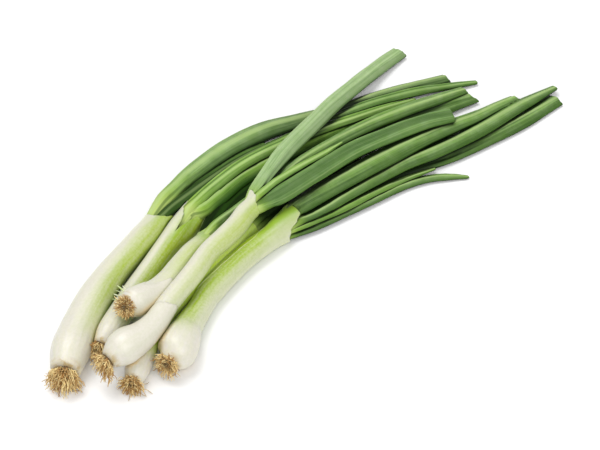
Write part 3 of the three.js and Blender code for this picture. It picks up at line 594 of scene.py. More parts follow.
def skin_mesh(name, sheath, edge, finish):
    """A thin closed skin round a shank, from its root end up to the edge that the turns and
    lengths give. Its low end runs out into the shank. It carries the shank's attributes."""
    turns = np.arange(SHANK_SIDES) * math.tau / SHANK_SIDES
    top = along_loop(edge, np.degrees(turns)) * MM
    frays = np.sin(turns * 23) * 0.25 * MM + np.sin(turns * 41 + 1) * 0.15 * MM
    rows = SKIN_ROWS
    layers = []
    for height in (SKIN_LIFT + SKIN_THICK, SKIN_LIFT):
        for k in range(rows + 1):
            length = SKIN_LOW + (top + frays - SKIN_LOW) * (k / rows)
            thinner = SKIN_THICK * 0.7 * (height > SKIN_LIFT) * smooth(k, rows - 3, rows)
            sunk = (height + 0.15 * MM) * (1 - smooth(k, 0, 9))
            layers.append((length, height - thinner - sunk))
    outer, inner = layers[:rows + 1], layers[rows + 1:][::-1]
    loops = outer + inner
    points, shares, inside = [], [], []
    for k, (length, height) in enumerate(loops):
        place = sheath.places(length - sheath.length, turns, np.full(SHANK_SIDES, height))
        points.append(place)
        shares.append(length / sheath.length)
        inside.append(np.full(SHANK_SIDES, float(k > rows)))
    count = len(loops)
    faces = [
        (k * SHANK_SIDES + c, k * SHANK_SIDES + (c + 1) % SHANK_SIDES,
         (k + 1) % count * SHANK_SIDES + (c + 1) % SHANK_SIDES, (k + 1) % count * SHANK_SIDES + c)
        for k in range(count) for c in range(SHANK_SIDES)
    ]
    mesh = bpy.data.meshes.new(name)
    mesh.from_pydata(np.concatenate(points).tolist(), [], faces)
    share, turn = np.concatenate(shares), np.tile(turns, count)
    values = dict(share=share, inner=np.concatenate(inside),
                  across=np.cos(turn), above=np.sin(turn))
    for label, value in values.items():
        layer = mesh.attributes.new(label, "FLOAT", "POINT")
        layer.data.foreach_set("value", value.astype(np.float32))
    grain = np.stack([share, 6 * MM * np.cos(turn), 6 * MM * np.sin(turn)], 1)
    mesh.attributes.new("grain", "FLOAT_VECTOR", "POINT").data.foreach_set(
        "vector", grain.astype(np.float32).ravel())
    return smooth_and_dress(mesh, finish)


def fibre_mesh(name, route, radius, finish):
    """A thin fibre along a route: round, thickest in its middle, pointed at both ends."""
    sides = FIBRE_SIDES
    route = np.array(route, float)
    steps = (len(route) - 1) * FIBRE_STEPS
    middles = np.array([through(route, k / steps) for k in range(steps + 1)])
    along = np.gradient(middles, axis=0)
    along /= np.linalg.norm(along, axis=1, keepdims=True)
    side = np.cross(along, [0, 0, 1.0])
    side /= np.linalg.norm(side, axis=1, keepdims=True)
    up = np.cross(side, along)
    turns = np.arange(sides) * math.tau / sides
    thick = radius * np.sin(np.linspace(0.12, 0.96, steps + 1) * math.pi) ** 0.5
    rings = (middles[:, None] + side[:, None] * (thick[:, None] * np.cos(turns))[..., None]
             + up[:, None] * (thick[:, None] * np.sin(turns))[..., None])
    faces = [(k * sides + c, k * sides + (c + 1) % sides, (k + 1) * sides + (c + 1) % sides,
              (k + 1) * sides + c) for k in range(steps) for c in range(sides)]
    faces += [tuple(range(sides))[::-1], tuple(steps * sides + c for c in range(sides))]
    mesh = bpy.data.meshes.new(name)
    mesh.from_pydata(rings.reshape(-1, 3).tolist(), [], faces)
    return smooth_and_dress(mesh, finish)


def dress_collar(points, stations, sheath, collar, ring, turn):
    """Moves the rings near the collar onto the sheath, up to the collar's slanting edge."""
    first = next(k for k, s in enumerate(stations) if s["share"] >= 0)
    last = max(k for k, s in enumerate(stations)
               if s["share"] <= 1 and "past" not in s and s["wide"])
    ahead = np.interp(np.arange(len(stations)), np.arange(first, last + 1), sheath.ahead)
    edge = along_loop(collar, np.degrees(turn)) * MM
    points = points.copy()
    on_body = (ring >= first) & (ring <= last) & (ahead[ring] > DRESS_FROM)
    chosen = np.flatnonzero(on_body)
    t = 1 - ahead[ring[chosen]] / DRESS_FROM
    moved_to = DRESS_FROM + t * (edge[chosen] - DRESS_FROM)
    points[chosen] = sheath.places(moved_to, turn[chosen], 0.0 * t)
    for k, part in enumerate(stations):
        if "past" in part:
            chosen = np.flatnonzero(ring == k)
            inset = np.full(len(chosen), -part["inset"] * MM)
            points[chosen] = sheath.places(edge[chosen] + part["past"] * MM, turn[chosen], inset)
    return points


# ------------------------------------------------------------------ node trees


class Tree:
    """A node tree with short calls that add a node and feed its sockets."""

    def __init__(self, tree):
        self.tree = tree

    def add(self, kind, feeds=None, **settings):
        node = self.tree.nodes.new(kind)
        for key, value in settings.items():
            setattr(node, key, value)
        for key, value in (feeds or {}).items():
            self.feed(node.inputs[key], value)
        return node

    def feed(self, socket, value):
        if isinstance(value, bpy.types.NodeSocket):
            self.tree.links.new(value, socket)
        else:
            socket.default_value = value

    def math(self, operation, *values, clamp=False):
        node = self.add("ShaderNodeMath", operation=operation, use_clamp=clamp)
        for socket, value in zip(node.inputs, values):
            self.feed(socket, value)
        return node.outputs[0]

    def vector(self, operation, *values):
        node = self.add("ShaderNodeVectorMath", operation=operation)
        for socket, value in zip(node.inputs, values):
            self.feed(socket, value)
        return node

    def scaled(self, direction, amount):
        node = self.add("ShaderNodeVectorMath", operation="SCALE")
        self.feed(node.inputs[0], direction)
        self.feed(node.inputs["Scale"], amount)
        return node.outputs[0]

    def total(self, *vectors):
        result = vectors[0]
        for other in vectors[1:]:
            result = self.vector("ADD", result, other).outputs[0]
        return result

    def between(self, value, low, high, to_low=0.0, to_high=1.0, smooth=True):
        node = self.add(
            "ShaderNodeMapRange", clamp=True,
            interpolation_type="SMOOTHSTEP" if smooth else "LINEAR",
            feeds={"Value": value, "From Min": low, "From Max": high,
                   "To Min": to_low, "To Max": to_high},
        )
        return node.outputs["Result"]

    def store(self, geometry, layers):
        """Stores values on the points of a geometry. layers: rows of name, value and kind."""
        for label, value, kind in layers:
            node = self.add("GeometryNodeStoreNamedAttribute",
                            {"Geometry": geometry, "Name": label}, data_type=kind, domain="POINT")
            self.feed(node.inputs["Value"], value)
            geometry = node.outputs[0]
        return geometry

    def end_in(self, out, geometry, finish):
        """Smooth shading, real geometry and the finish, which each geometry tree ends in."""
        smooth = self.add("GeometryNodeSetShadeSmooth", {"Geometry": geometry})
        real = self.add("GeometryNodeRealizeInstances", {"Geometry": smooth.outputs[0]})
        dressed = self.add("GeometryNodeSetMaterial", {
            "Geometry": real.outputs[0], "Material": finish})
        self.feed(out, dressed.outputs[0])
        return self.tree


def geometry_tree(name, sockets):
    """A geometry tree with named inputs, its group nodes, and the input sockets by name."""
    tree = bpy.data.node_groups.new(name, "GeometryNodeTree")
    face = tree.interface
    face.new_socket("Geometry", in_out="INPUT", socket_type="NodeSocketGeometry")
    face.new_socket("Geometry", in_out="OUTPUT", socket_type="NodeSocketGeometry")
    for label, kind in sockets.items():
        face.new_socket(label, in_out="INPUT", socket_type="NodeSocket" + kind)
    graph = Tree(tree)
    given = graph.add("NodeGroupInput").outputs
    return graph, given, graph.add("NodeGroupOutput").inputs["Geometry"]


def build_with(tree, source, values):
    """The plain mesh that a geometry tree makes from source with these input values."""
    maker = source.modifiers.new("build", "NODES")
    maker.node_group = tree
    keys = {item.name: item.identifier for item in tree.interface.items_tree
            if item.in_out == "INPUT"}
    for label, value in values.items():
        maker[keys[label]] = value
    depsgraph = bpy.context.evaluated_depsgraph_get()
    mesh = bpy.data.meshes.new_from_object(source.evaluated_get(depsgraph))
    source.modifiers.remove(maker)
    return mesh


SEAM = 1e-6                   # points closer than this become one, where a ring closes
STATION_VECTORS = ("along", "side", "up")
STATION_SIZES = ("wide", "thick", "share", "inner", "lean")


def sweep_tree():
    """Sweeps a flattened round section through the stations. Sizes come from the stations,
    and the tree adds lengthwise ridges, creases, a slow waver and the lean of a cut."""
    graph, given, out = geometry_tree("sweep_along_route", {
        "Rings": "Int", "Sides": "Int", "Edge": "Float", "Ridges": "Float",
        "Ridge Depth": "Float", "Waver": "Float", "Seed": "Float",
        "Crease Turn": "Float", "Crease Width": "Float", "Crease Depth": "Float",
        "Second Turn": "Float", "Second Width": "Float", "Second Depth": "Float",
        "Finish": "Material",
    })
    columns = graph.math("ADD", given["Sides"], 1.0)
    grid = graph.add("GeometryNodeMeshGrid", {
        "Size X": 1.0, "Size Y": 1.0, "Vertices X": given["Rings"], "Vertices Y": columns,
    })
    index = graph.add("GeometryNodeInputIndex").outputs[0]
    row = graph.math("FLOOR", graph.math("DIVIDE", graph.math("ADD", index, 0.5), columns))
    column = graph.math("SUBTRACT", index, graph.math("MULTIPLY", row, columns))
    turn = graph.math("MULTIPLY", graph.math("DIVIDE", column, given["Sides"]), -math.tau)

    def read(label, kind):
        attribute = graph.add("GeometryNodeInputNamedAttribute", {"Name": label}, data_type=kind)
        sample = graph.add("GeometryNodeSampleIndex", {
            "Geometry": given["Geometry"], "Index": row}, data_type=kind, domain="POINT")
        graph.feed(sample.inputs["Value"], attribute.outputs["Attribute"])
        return sample.outputs["Value"]

    place = graph.add("GeometryNodeInputPosition")
    middle = graph.add("GeometryNodeSampleIndex", {"Geometry": given["Geometry"], "Index": row,
                       "Value": place.outputs[0]}, data_type="FLOAT_VECTOR", domain="POINT")
    at = {label: read(label, "FLOAT_VECTOR") for label in STATION_VECTORS}
    at.update({label: read(label, "FLOAT") for label in STATION_SIZES})

    across = graph.math("COSINE", turn)
    swing = graph.math("SINE", turn)
    above = graph.math("MULTIPLY", graph.math("SIGN", swing),
                       graph.math("POWER", graph.math("ABSOLUTE", swing), given["Edge"]))
    outward = graph.vector("NORMALIZE", graph.total(
        graph.scaled(at["side"], graph.math("MULTIPLY", across, at["thick"])),
        graph.scaled(at["up"], graph.math("MULTIPLY", swing, at["wide"])),
    )).outputs[0]
    spot = graph.add("ShaderNodeCombineXYZ", {
        "X": graph.math("MULTIPLY", across, 1.3), "Y": graph.math("MULTIPLY", swing, 1.3),
        "Z": graph.math("ADD", graph.math("MULTIPLY", at["share"], 9.0), given["Seed"]),
    })
    noise = graph.add("ShaderNodeTexNoise", {
        "Vector": spot.outputs[0], "Scale": 1.0, "Detail": 2.0})
    waver = graph.math("MULTIPLY", graph.math("SUBTRACT", noise.outputs[0], 0.5), given["Waver"])
    ridge = graph.math("MULTIPLY",
                       graph.math("COSINE", graph.math("MULTIPLY", turn, given["Ridges"])),
                       given["Ridge Depth"])
    fade = graph.math("MULTIPLY", graph.between(graph.math("ABSOLUTE", swing), 0.0, 0.5),
                      graph.between(at["wide"], 1.0 * MM, 4.0 * MM))

    def crease(which):
        drift = graph.math("MULTIPLY", graph.math("SINE", graph.math(
            "ADD", graph.math("MULTIPLY", at["share"], 7.0), given["Seed"])), 0.16)
        off = graph.math("ADD", graph.math("SUBTRACT", turn, given[f"{which} Turn"]), drift)
        spread = graph.math("MULTIPLY", given[f"{which} Width"], given[f"{which} Width"])
        fall = graph.math("DIVIDE", graph.math("SUBTRACT", graph.math("COSINE", off), 1.0), spread)
        near = graph.math("EXPONENT", fall)
        depth = given[f"{which} Depth"]
        sign = graph.math("SIGN", depth)
        return graph.math("MULTIPLY", near, depth), graph.math("MULTIPLY", near, sign)

    (first, first_sign), (second, second_sign) = crease("Crease"), crease("Second")
    folds = graph.math("MULTIPLY", graph.math("ADD", first, second),
                       graph.between(at["wide"], 1.0 * MM, 5.0 * MM))
    fold = graph.math("MULTIPLY", graph.math("ADD", first_sign, second_sign), -1.0)
    relief = graph.math("ADD", waver, graph.math("MULTIPLY", ridge, fade))
    opened = graph.math("MULTIPLY", graph.between(at["share"], 0.03, 0.14),
                        graph.between(at["wide"], 0.0, 2.0 * MM))
    relief = graph.math("MULTIPLY", graph.math("SUBTRACT", relief, folds), opened)
    shift = graph.math("MULTIPLY", across, at["lean"])
    wide_off = graph.math("MULTIPLY", across, at["wide"])
    thick_off = graph.math("MULTIPLY", above, at["thick"])
    point = graph.total(
        middle.outputs["Value"], graph.scaled(at["side"], wide_off),
        graph.scaled(at["up"], thick_off), graph.scaled(outward, relief),
        graph.scaled(at["along"], shift),
    )
    body = graph.add("GeometryNodeSetPosition", {
        "Geometry": grid.outputs["Mesh"], "Position": point})
    grain = graph.add("ShaderNodeCombineXYZ", {"X": at["share"], "Y": wide_off, "Z": thick_off})
    kept = graph.store(body.outputs[0], (
        ("grain", grain.outputs[0], "FLOAT_VECTOR"), ("share", at["share"], "FLOAT"),
        ("inner", at["inner"], "FLOAT"), ("across", across, "FLOAT"), ("above", swing, "FLOAT"),
        ("ring", row, "FLOAT"), ("fold", fold, "FLOAT"),
    ))
    closed = graph.add("GeometryNodeMergeByDistance", {"Geometry": kept, "Distance": SEAM})
    return graph.end_in(out, closed.outputs[0], given["Finish"])


def station_mesh(name, stations):
    """The stations as loose points that carry their sizes."""
    mesh = bpy.data.meshes.new(name)
    mesh.from_pydata([tuple(s["middle"]) for s in stations], [], [])
    for label in STATION_VECTORS:
        layer = mesh.attributes.new(label, "FLOAT_VECTOR", "POINT")
        values = np.array([s[label] for s in stations], np.float32)
        layer.data.foreach_set("vector", values.ravel())
    for label in STATION_SIZES:
        layer = mesh.attributes.new(label, "FLOAT", "POINT")
        layer.data.foreach_set("value", np.array([s[label] for s in stations], np.float32))
    return mesh


GOLDEN = 3 - math.sqrt(5)     # the turn from one place on a sunflower spiral to the next, over pi
THREAD_POINTS = 11
THREAD_SIDES = 5


def root_tree():
    """A tuft of threads on the root plate, on a sunflower spiral. Each thread leaves the plate,
    fans out, curls by noise, sags, and never goes below the table."""
    graph, given, out = geometry_tree("root_tuft", {
        "Count": "Int", "Plate": "Float", "Reach": "Float", "Spread": "Float", "Droop": "Float",
        "Thread": "Float", "Curl": "Float", "Core": "Float", "Seed": "Int",
        "Middle": "Vector", "Axis": "Vector", "Side": "Vector", "Up": "Vector",
        "Finish": "Material",
    })
    index = graph.add("GeometryNodeInputIndex").outputs[0]

    def chance(low, high, step):
        node = graph.add("FunctionNodeRandomValue", data_type="FLOAT")
        graph.feed(node.inputs[2], low)
        graph.feed(node.inputs[3], high)
        graph.feed(node.inputs["ID"], index)
        graph.feed(node.inputs["Seed"], graph.math("ADD", given["Seed"], step))
        return node.outputs[1]

    share = graph.math("DIVIDE", graph.math("ADD", index, 0.5), given["Count"])
    turn = graph.math("MULTIPLY", index, math.pi * GOLDEN)
    off = graph.math("SQRT", share)
    spin = graph.add("ShaderNodeCombineXYZ", {
        "X": graph.math("MULTIPLY", graph.math("COSINE", turn), off),
        "Y": graph.math("MULTIPLY", graph.math("SINE", turn), off),
    }).outputs[0]
    points = graph.add("GeometryNodePoints", {
        "Count": given["Count"], "Position": graph.scaled(spin, given["Plate"]),
        "Radius": 0.001,
    })
    kept = graph.store(points.outputs[0], (
        ("fan", spin, "FLOAT_VECTOR"), ("tone", chance(0.0, 1.0, 1), "FLOAT"),
        ("length", chance(0.40, 1.0, 2), "FLOAT"), ("phase", chance(0.0, 60.0, 3), "FLOAT"),
        ("girth", chance(0.55, 1.2, 4), "FLOAT"),
    ))
    thread = graph.add("GeometryNodeCurvePrimitiveLine", {"Start": (0, 0, 0), "End": (0, 0, 1)})
    fine = graph.add("GeometryNodeResampleCurve", {
        "Curve": thread.outputs[0], "Count": THREAD_POINTS})
    placed = graph.add("GeometryNodeInstanceOnPoints", {
        "Points": kept, "Instance": fine.outputs[0]})
    real = graph.add("GeometryNodeRealizeInstances", {"Geometry": placed.outputs[0]})

    def read(label, kind):
        return graph.add("GeometryNodeInputNamedAttribute", {"Name": label},
                         data_type=kind).outputs["Attribute"]

    along = graph.add("GeometryNodeSplineParameter").outputs["Factor"]
    along2 = graph.math("MULTIPLY", along, along)
    place = graph.add("GeometryNodeInputPosition").outputs[0]
    flat = graph.vector("MULTIPLY", place, (1.0, 1.0, 0.0)).outputs[0]
    out_share = graph.vector("LENGTH", read("fan", "FLOAT_VECTOR")).outputs["Value"]
    outer_gain = graph.math("MULTIPLY", graph.between(out_share, 0.0, 0.8),
                            graph.math("SUBTRACT", 1.0, given["Core"]))
    full = graph.math("MULTIPLY", read("length", "FLOAT"), given["Reach"])
    length = graph.math("MULTIPLY", full, graph.total(given["Core"], outer_gain))
    lean = graph.math("MULTIPLY", graph.math("MULTIPLY", out_share, given["Spread"]),
                      graph.between(along, 0.0, 0.7, 0.75, 1.0))
    run = graph.math("MULTIPLY", length, along)
    forward = graph.math("MULTIPLY", run, graph.math("COSINE", lean))
    fanned = graph.scaled(
        graph.vector("NORMALIZE", read("fan", "FLOAT_VECTOR")).outputs[0],
        graph.math("MULTIPLY", run, graph.math("SINE", lean)))
    wander = graph.add("ShaderNodeCombineXYZ", {
        "X": read("phase", "FLOAT"), "Y": graph.math("MULTIPLY", along, 3.4), "Z": 0.0})
    noise = graph.add("ShaderNodeTexNoise", {
        "Vector": wander.outputs[0], "Scale": 1.0, "Detail": 2.0})
    curl = graph.scaled(
        graph.vector("SUBTRACT", noise.outputs["Color"], (0.5, 0.5, 0.5)).outputs[0],
        graph.math("MULTIPLY", given["Curl"], graph.math("POWER", along, 0.8)))
    local = graph.add("ShaderNodeSeparateXYZ", {"Vector": graph.total(flat, fanned, curl)})
    world = graph.total(
        given["Middle"], graph.scaled(given["Side"], local.outputs["X"]),
        graph.scaled(given["Up"], local.outputs["Y"]),
        graph.scaled(given["Axis"], graph.math("ADD", forward, local.outputs["Z"])))
    sag = graph.add("ShaderNodeCombineXYZ", {"Z": graph.math("MULTIPLY", graph.math(
        "MULTIPLY", graph.math("MULTIPLY", length, given["Droop"]), along2), -1.0)})
    hung = graph.add("ShaderNodeSeparateXYZ", {"Vector": graph.total(world, sag.outputs[0])})
    raised = graph.add("ShaderNodeCombineXYZ", {
        "X": hung.outputs["X"], "Y": hung.outputs["Y"],
        "Z": graph.math("MAXIMUM", hung.outputs["Z"], given["Thread"])})
    bent = graph.add("GeometryNodeSetPosition", {
        "Geometry": real.outputs[0], "Position": raised.outputs[0]})
    taper = graph.math("MULTIPLY", graph.math("MULTIPLY", given["Thread"], read("girth", "FLOAT")),
                       graph.math("SUBTRACT", 1.0, graph.math("MULTIPLY", along2, 0.55)))
    sized = graph.add("GeometryNodeSetCurveRadius", {"Curve": bent.outputs[0], "Radius": taper})
    reach = graph.math("MULTIPLY", along, graph.between(
        out_share, 0.0, 0.8, graph.math("MULTIPLY", given["Core"], 0.5), 1.0))
    marked = graph.store(sized.outputs[0], [("reach", reach, "FLOAT")])
    ring = graph.add("GeometryNodeCurvePrimitiveCircle", {
        "Resolution": THREAD_SIDES, "Radius": 1.0})
    tubes = graph.add("GeometryNodeCurveToMesh", {
        "Curve": marked, "Profile Curve": ring.outputs[0],
        "Scale": graph.add("GeometryNodeInputRadius").outputs[0], "Fill Caps": True})
    return graph.end_in(out, tubes.outputs[0], given["Finish"])


# ------------------------------------------------------------------ material effects


def effect(name, inputs, outputs):
    """A shader node group with named sockets: its graph, its inputs by name, its outputs."""
    tree = bpy.data.node_groups.new(name, "ShaderNodeTree")
    for label, kind in inputs.items():
        tree.interface.new_socket(label, in_out="INPUT", socket_type="NodeSocket" + kind)
    for label, kind in outputs.items():
        tree.interface.new_socket(label, in_out="OUTPUT", socket_type="NodeSocket" + kind)
    graph = Tree(tree)
    return graph, graph.add("NodeGroupInput").outputs, graph.add("NodeGroupOutput").inputs


def attribute(graph, label, output="Fac"):
    return graph.add("ShaderNodeAttribute", attribute_name=label).outputs[output]


def lengthwise_veins():
    """Fine veins along a leaf or a sheath: they follow the piece and are evenly spaced across."""
    graph, given, out = effect(
        "lengthwise_veins",
        {"Spacing": "Float", "Seed": "Float"}, {"Vein": "Float", "Streak": "Float"})
    grain = graph.add("ShaderNodeSeparateXYZ", {"Vector": attribute(graph, "grain", "Vector")})
    pitch = graph.math("DIVIDE", 1.0, given["Spacing"])
    spot = graph.add("ShaderNodeCombineXYZ", {
        "X": graph.math("ADD", graph.math("MULTIPLY", grain.outputs["X"], 6.0), given["Seed"]),
        "Y": graph.math("MULTIPLY", grain.outputs["Y"], pitch),
        "Z": graph.math("MULTIPLY", grain.outputs["Z"], pitch)})
    fine = graph.add("ShaderNodeTexNoise", {
        "Vector": spot.outputs[0], "Scale": 1.0, "Detail": 2.0, "Roughness": 0.6})
    broad = graph.add("ShaderNodeTexNoise", {
        "Vector": spot.outputs[0], "Scale": 0.28, "Detail": 3.0, "Roughness": 0.55})
    graph.feed(out["Vein"], graph.between(fine.outputs[0], 0.35, 0.65))
    graph.feed(out["Streak"], graph.between(broad.outputs[0], 0.35, 0.65))
    return graph.tree


def cloudy():
    """Soft blotches of a given size, on the object's own coordinates."""
    graph, given, out = effect(
        "cloudy", {"Size": "Float", "Seed": "Float", "Low": "Float", "High": "Float"},
        {"Mask": "Float"})
    place = graph.add("ShaderNodeTexCoord").outputs["Object"]
    spot = graph.vector("ADD", graph.scaled(place, graph.math("DIVIDE", 1.0, given["Size"])),
                        given["Seed"]).outputs[0]
    noise = graph.add("ShaderNodeTexNoise", {
        "Vector": spot, "Scale": 1.0, "Detail": 4.0, "Roughness": 0.55})
    graph.feed(out["Mask"], graph.between(noise.outputs[0], given["Low"], given["High"]))
    return graph.tree


def new_material(name):
    material = bpy.data.materials.new(name)
    material.use_nodes = True
    tree = material.node_tree
    tree.nodes.clear()
    graph = Tree(tree)
    shader = graph.add("ShaderNodeBsdfPrincipled")
    output = graph.add("ShaderNodeOutputMaterial")
    tree.links.new(shader.outputs[0], output.inputs[0])
    return material, graph, shader.inputs


def placed(graph, group, **values):
    node = graph.add("ShaderNodeGroup", node_tree=group)
    for label, value in values.items():
        graph.feed(node.inputs[label.replace("_", " ")], value)
    return node.outputs


def blend(graph, amount, first, second):
    node = graph.add("ShaderNodeMix", data_type="RGBA")
    graph.feed(node.inputs[0], amount)
    for socket, colour in ((node.inputs[6], first), (node.inputs[7], second)):
        graph.feed(socket, colour if isinstance(colour, bpy.types.NodeSocket) else (*colour, 1.0))
    return node.outputs[2]


# Colours that all leaves share, and all shanks.
FOOT_GREEN, FOOT_PALE = (0.32, 0.50, 0.055), (0.54, 0.63, 0.22)
# Painted shade: a dark green for the shaded flanks and grooves of a leaf, and another for a shaded
# span of its length.
SHADE_GREEN, SHADED_SPAN_GREEN = (0.020, 0.065, 0.005), (0.014, 0.045, 0.003)
# A painted highlight for lit ridges and rims, the pale green of cut walls, and painted shade for
# gaps between leaves.
HIGHLIGHT_PALE, CUT_WALL, LEAF_GAP_SHADE = (0.46, 0.61, 0.24), (0.22, 0.34, 0.06), (0.004, 0.014, 0.001)
BULB_WHITE, SHEATH_CREAM = (0.725, 0.690, 0.605), (0.70, 0.685, 0.560)
STREAK_CREAM, GRAIN_CREAM = (0.64, 0.66, 0.47), (0.58, 0.58, 0.42)
COLLAR_GREEN, FILM_CREAM, SCRAP_TAN = (0.27, 0.45, 0.045), (0.68, 0.69, 0.50), (0.50, 0.37, 0.16)
COLLAR_WALL = (0.42, 0.55, 0.13)
# Painted shade for the gaps of the pile: warm on the bulbs, olive on the sheaths, near black in
# the deepest gaps.
BULB_GAP_SHADE, SHEATH_GAP_SHADE, DEEP_GAP_SHADE = (0.72, 0.56, 0.30), (0.14, 0.20, 0.015), (0.02, 0.035, 0.004)


def leaf_material(name, dark, mid, light, bloom, bloom_share, seed, rough=0.42, shade=0.50,
                  foot_to=0.22, groove_shade=0.6, gloss=0.20, edge=0.50,
                  shaded_span=(0.0, 1.0, 0.0, 0.0)):
    """A leaf: yellow green at its foot, veined green above, painted highlights on ridges and rims,
    painted shade in folds, on the right flank and in the gaps of the pile, a pale waxy bloom on
    top, pale cut walls. The last argument: the lengths (share) between which a painted shade of
    darker green changes, and how much of it there is before and after."""
    material, graph, shader = new_material(name)
    veins = placed(graph, VEINS, Spacing=0.55 * MM, Seed=seed)
    patches = placed(graph, CLOUDY, Size=16 * MM, Seed=seed, Low=0.35, High=0.68)
    wax = placed(graph, CLOUDY, Size=7 * MM, Seed=seed + 4.0, Low=0.32, High=0.72)
    share = attribute(graph, "share")
    above = attribute(graph, "above")
    across = attribute(graph, "across")
    fold = attribute(graph, "fold")
    tone = blend(graph, veins["Streak"], dark, mid)
    tone = blend(graph, graph.math("MULTIPLY", veins["Vein"], 0.50), tone, light)
    tone = blend(graph, graph.math("MULTIPLY", patches["Mask"], 0.30), tone, light)
    film = graph.math("MULTIPLY", graph.math("ADD", graph.math("MULTIPLY", wax["Mask"], 0.6), 0.4),
                      graph.between(above, -0.2, 0.9))
    film = graph.math("MULTIPLY", film, graph.between(share, 0.02, 0.2))
    film = graph.math("MULTIPLY", film, graph.math(
        "ADD", graph.math("MULTIPLY", veins["Streak"], 0.5), 0.5))
    tone = blend(graph, graph.math("MULTIPLY", film, bloom_share), tone, bloom)
    foot = graph.math("SUBTRACT", 1.0, graph.between(share, -0.02, foot_to))
    tone = blend(graph, graph.math("MULTIPLY", foot, 0.80), tone, FOOT_GREEN)
    foot_white = graph.math("SUBTRACT", 1.0, graph.between(share, -0.01, foot_to * 0.5))
    tone = blend(graph, graph.math("MULTIPLY", foot_white, 0.70), tone, FOOT_PALE)
    # Painted shade: the right flank and the grooves of folds turn dark green, as if out of the
    # light.
    shaded_flank = graph.math("MULTIPLY", graph.between(across, -0.05, -0.95), shade)
    shaded_flank = graph.math("MULTIPLY", shaded_flank, graph.between(share, 0.0, foot_to * 0.8, 0.15, 1.0))
    shaded_groove = graph.math("MULTIPLY", graph.between(fold, -0.15, -0.9), groove_shade)
    tone = blend(graph, graph.math("MAXIMUM", shaded_flank, shaded_groove), tone, SHADE_GREEN)
    # Painted shade: a darker green over a span of the leaf's length.
    tone = blend(graph, graph.between(share, *shaded_span), tone, SHADED_SPAN_GREEN)
    # Painted highlight: pale green along the keels and the left rim, where light catches them;
    # edge sets its strength.
    ridge = graph.math("MULTIPLY", graph.between(fold, 0.3, 0.95), edge)
    rim = graph.math("MULTIPLY", graph.between(across, 0.88, 0.99), edge)
    tone = blend(graph, graph.math("MAXIMUM", ridge, rim), tone, HIGHLIGHT_PALE)
    inner = attribute(graph, "inner")
    tone = blend(graph, graph.math("MULTIPLY", inner, 0.7), tone, CUT_WALL)
    # Painted shade: near black where the pile closes round the leaf.
    gap_shade = graph.math("MULTIPLY", graph.between(attribute(graph, "gap_shade"), 0.07, 0.42),
                         graph.between(share, 0.0, foot_to * 0.8, 0.15, 0.95))
    tone = blend(graph, gap_shade, tone, LEAF_GAP_SHADE)
    graph.feed(shader["Base Color"], tone)
    graph.feed(shader["Roughness"], graph.math(
        "ADD", graph.math("MULTIPLY", film, 0.22), rough))
    shader["Specular IOR Level"].default_value = gloss
    shader["Subsurface Weight"].default_value = 0.05
    shader["Subsurface Radius"].default_value = (0.6, 1.0, 0.25)
    shader["Subsurface Scale"].default_value = 1.0 * MM
    bump = graph.add("ShaderNodeBump", {"Strength": 0.30, "Distance": 0.25 * MM})
    graph.feed(bump.inputs["Height"], graph.math(
        "ADD", veins["Vein"], graph.math("MULTIPLY", veins["Streak"], 1.4)))
    graph.feed(shader["Normal"], bump.outputs[0])
    return material


# How the colour runs on each shank. lime: the lengths (share) between which the yellow green
# comes in, the side that it comes from (1 right, -1 left, 0 all round), how far round it reaches
# (low, high) and its strength. top: the share where the collar turns green, its side and strength.
# film: the side, reach and strength of the pale dry skin at the collar. shade: how strongly
# painted shade darkens the gaps of the pile. yellow: the colour of the yellow green.
SHANK_LOOKS = {
    "shank_a": dict(lime=(0.10, 0.50, 1, -0.10, 1.00, 0.90), top=(0.84, 1, 0.30),
                    film=(-1, -0.4, 0.75), shade=0.45, yellow=(0.38, 0.50, 0.050), seed=3.0),
    "shank_b": dict(lime=(0.16, 0.46, 1, 0.00, 0.75, 1.00), top=(0.76, 1, 0.55),
                    film=(-1, -0.45, 1.0), shade=0.85, yellow=(0.33, 0.44, 0.030), seed=5.0),
    "shank_c": dict(lime=(0.30, 0.85, 1, -1.00, 1.10, 0.70), top=(0.90, 0, 0.80),
                    film=(1, 0.9, 0.0), shade=0.50, yellow=(0.40, 0.52, 0.060), seed=8.0),
    "shank_d": dict(lime=(0.24, 0.70, 1, -0.20, 1.10, 0.72), top=(0.84, 1, 0.25),
                    film=(-1, -0.5, 0.9), shade=0.08, yellow=(0.40, 0.52, 0.055), seed=11.0),
    "shank_e": dict(lime=(0.20, 0.38, 0, -1.00, -0.50, 1.00), top=(0.85, 0, 0.50),
                    film=(1, 0.9, 0.0), shade=0.0, yellow=(0.58, 0.76, 0.070), seed=14.0),
    "shank_f": dict(lime=(0.15, 0.38, -1, -1.40, 0.45, 1.00), top=(0.76, -1, 0.85),
                    film=(1, -0.3, 0.65), shade=0.05, yellow=(0.32, 0.45, 0.025), seed=17.0),
}


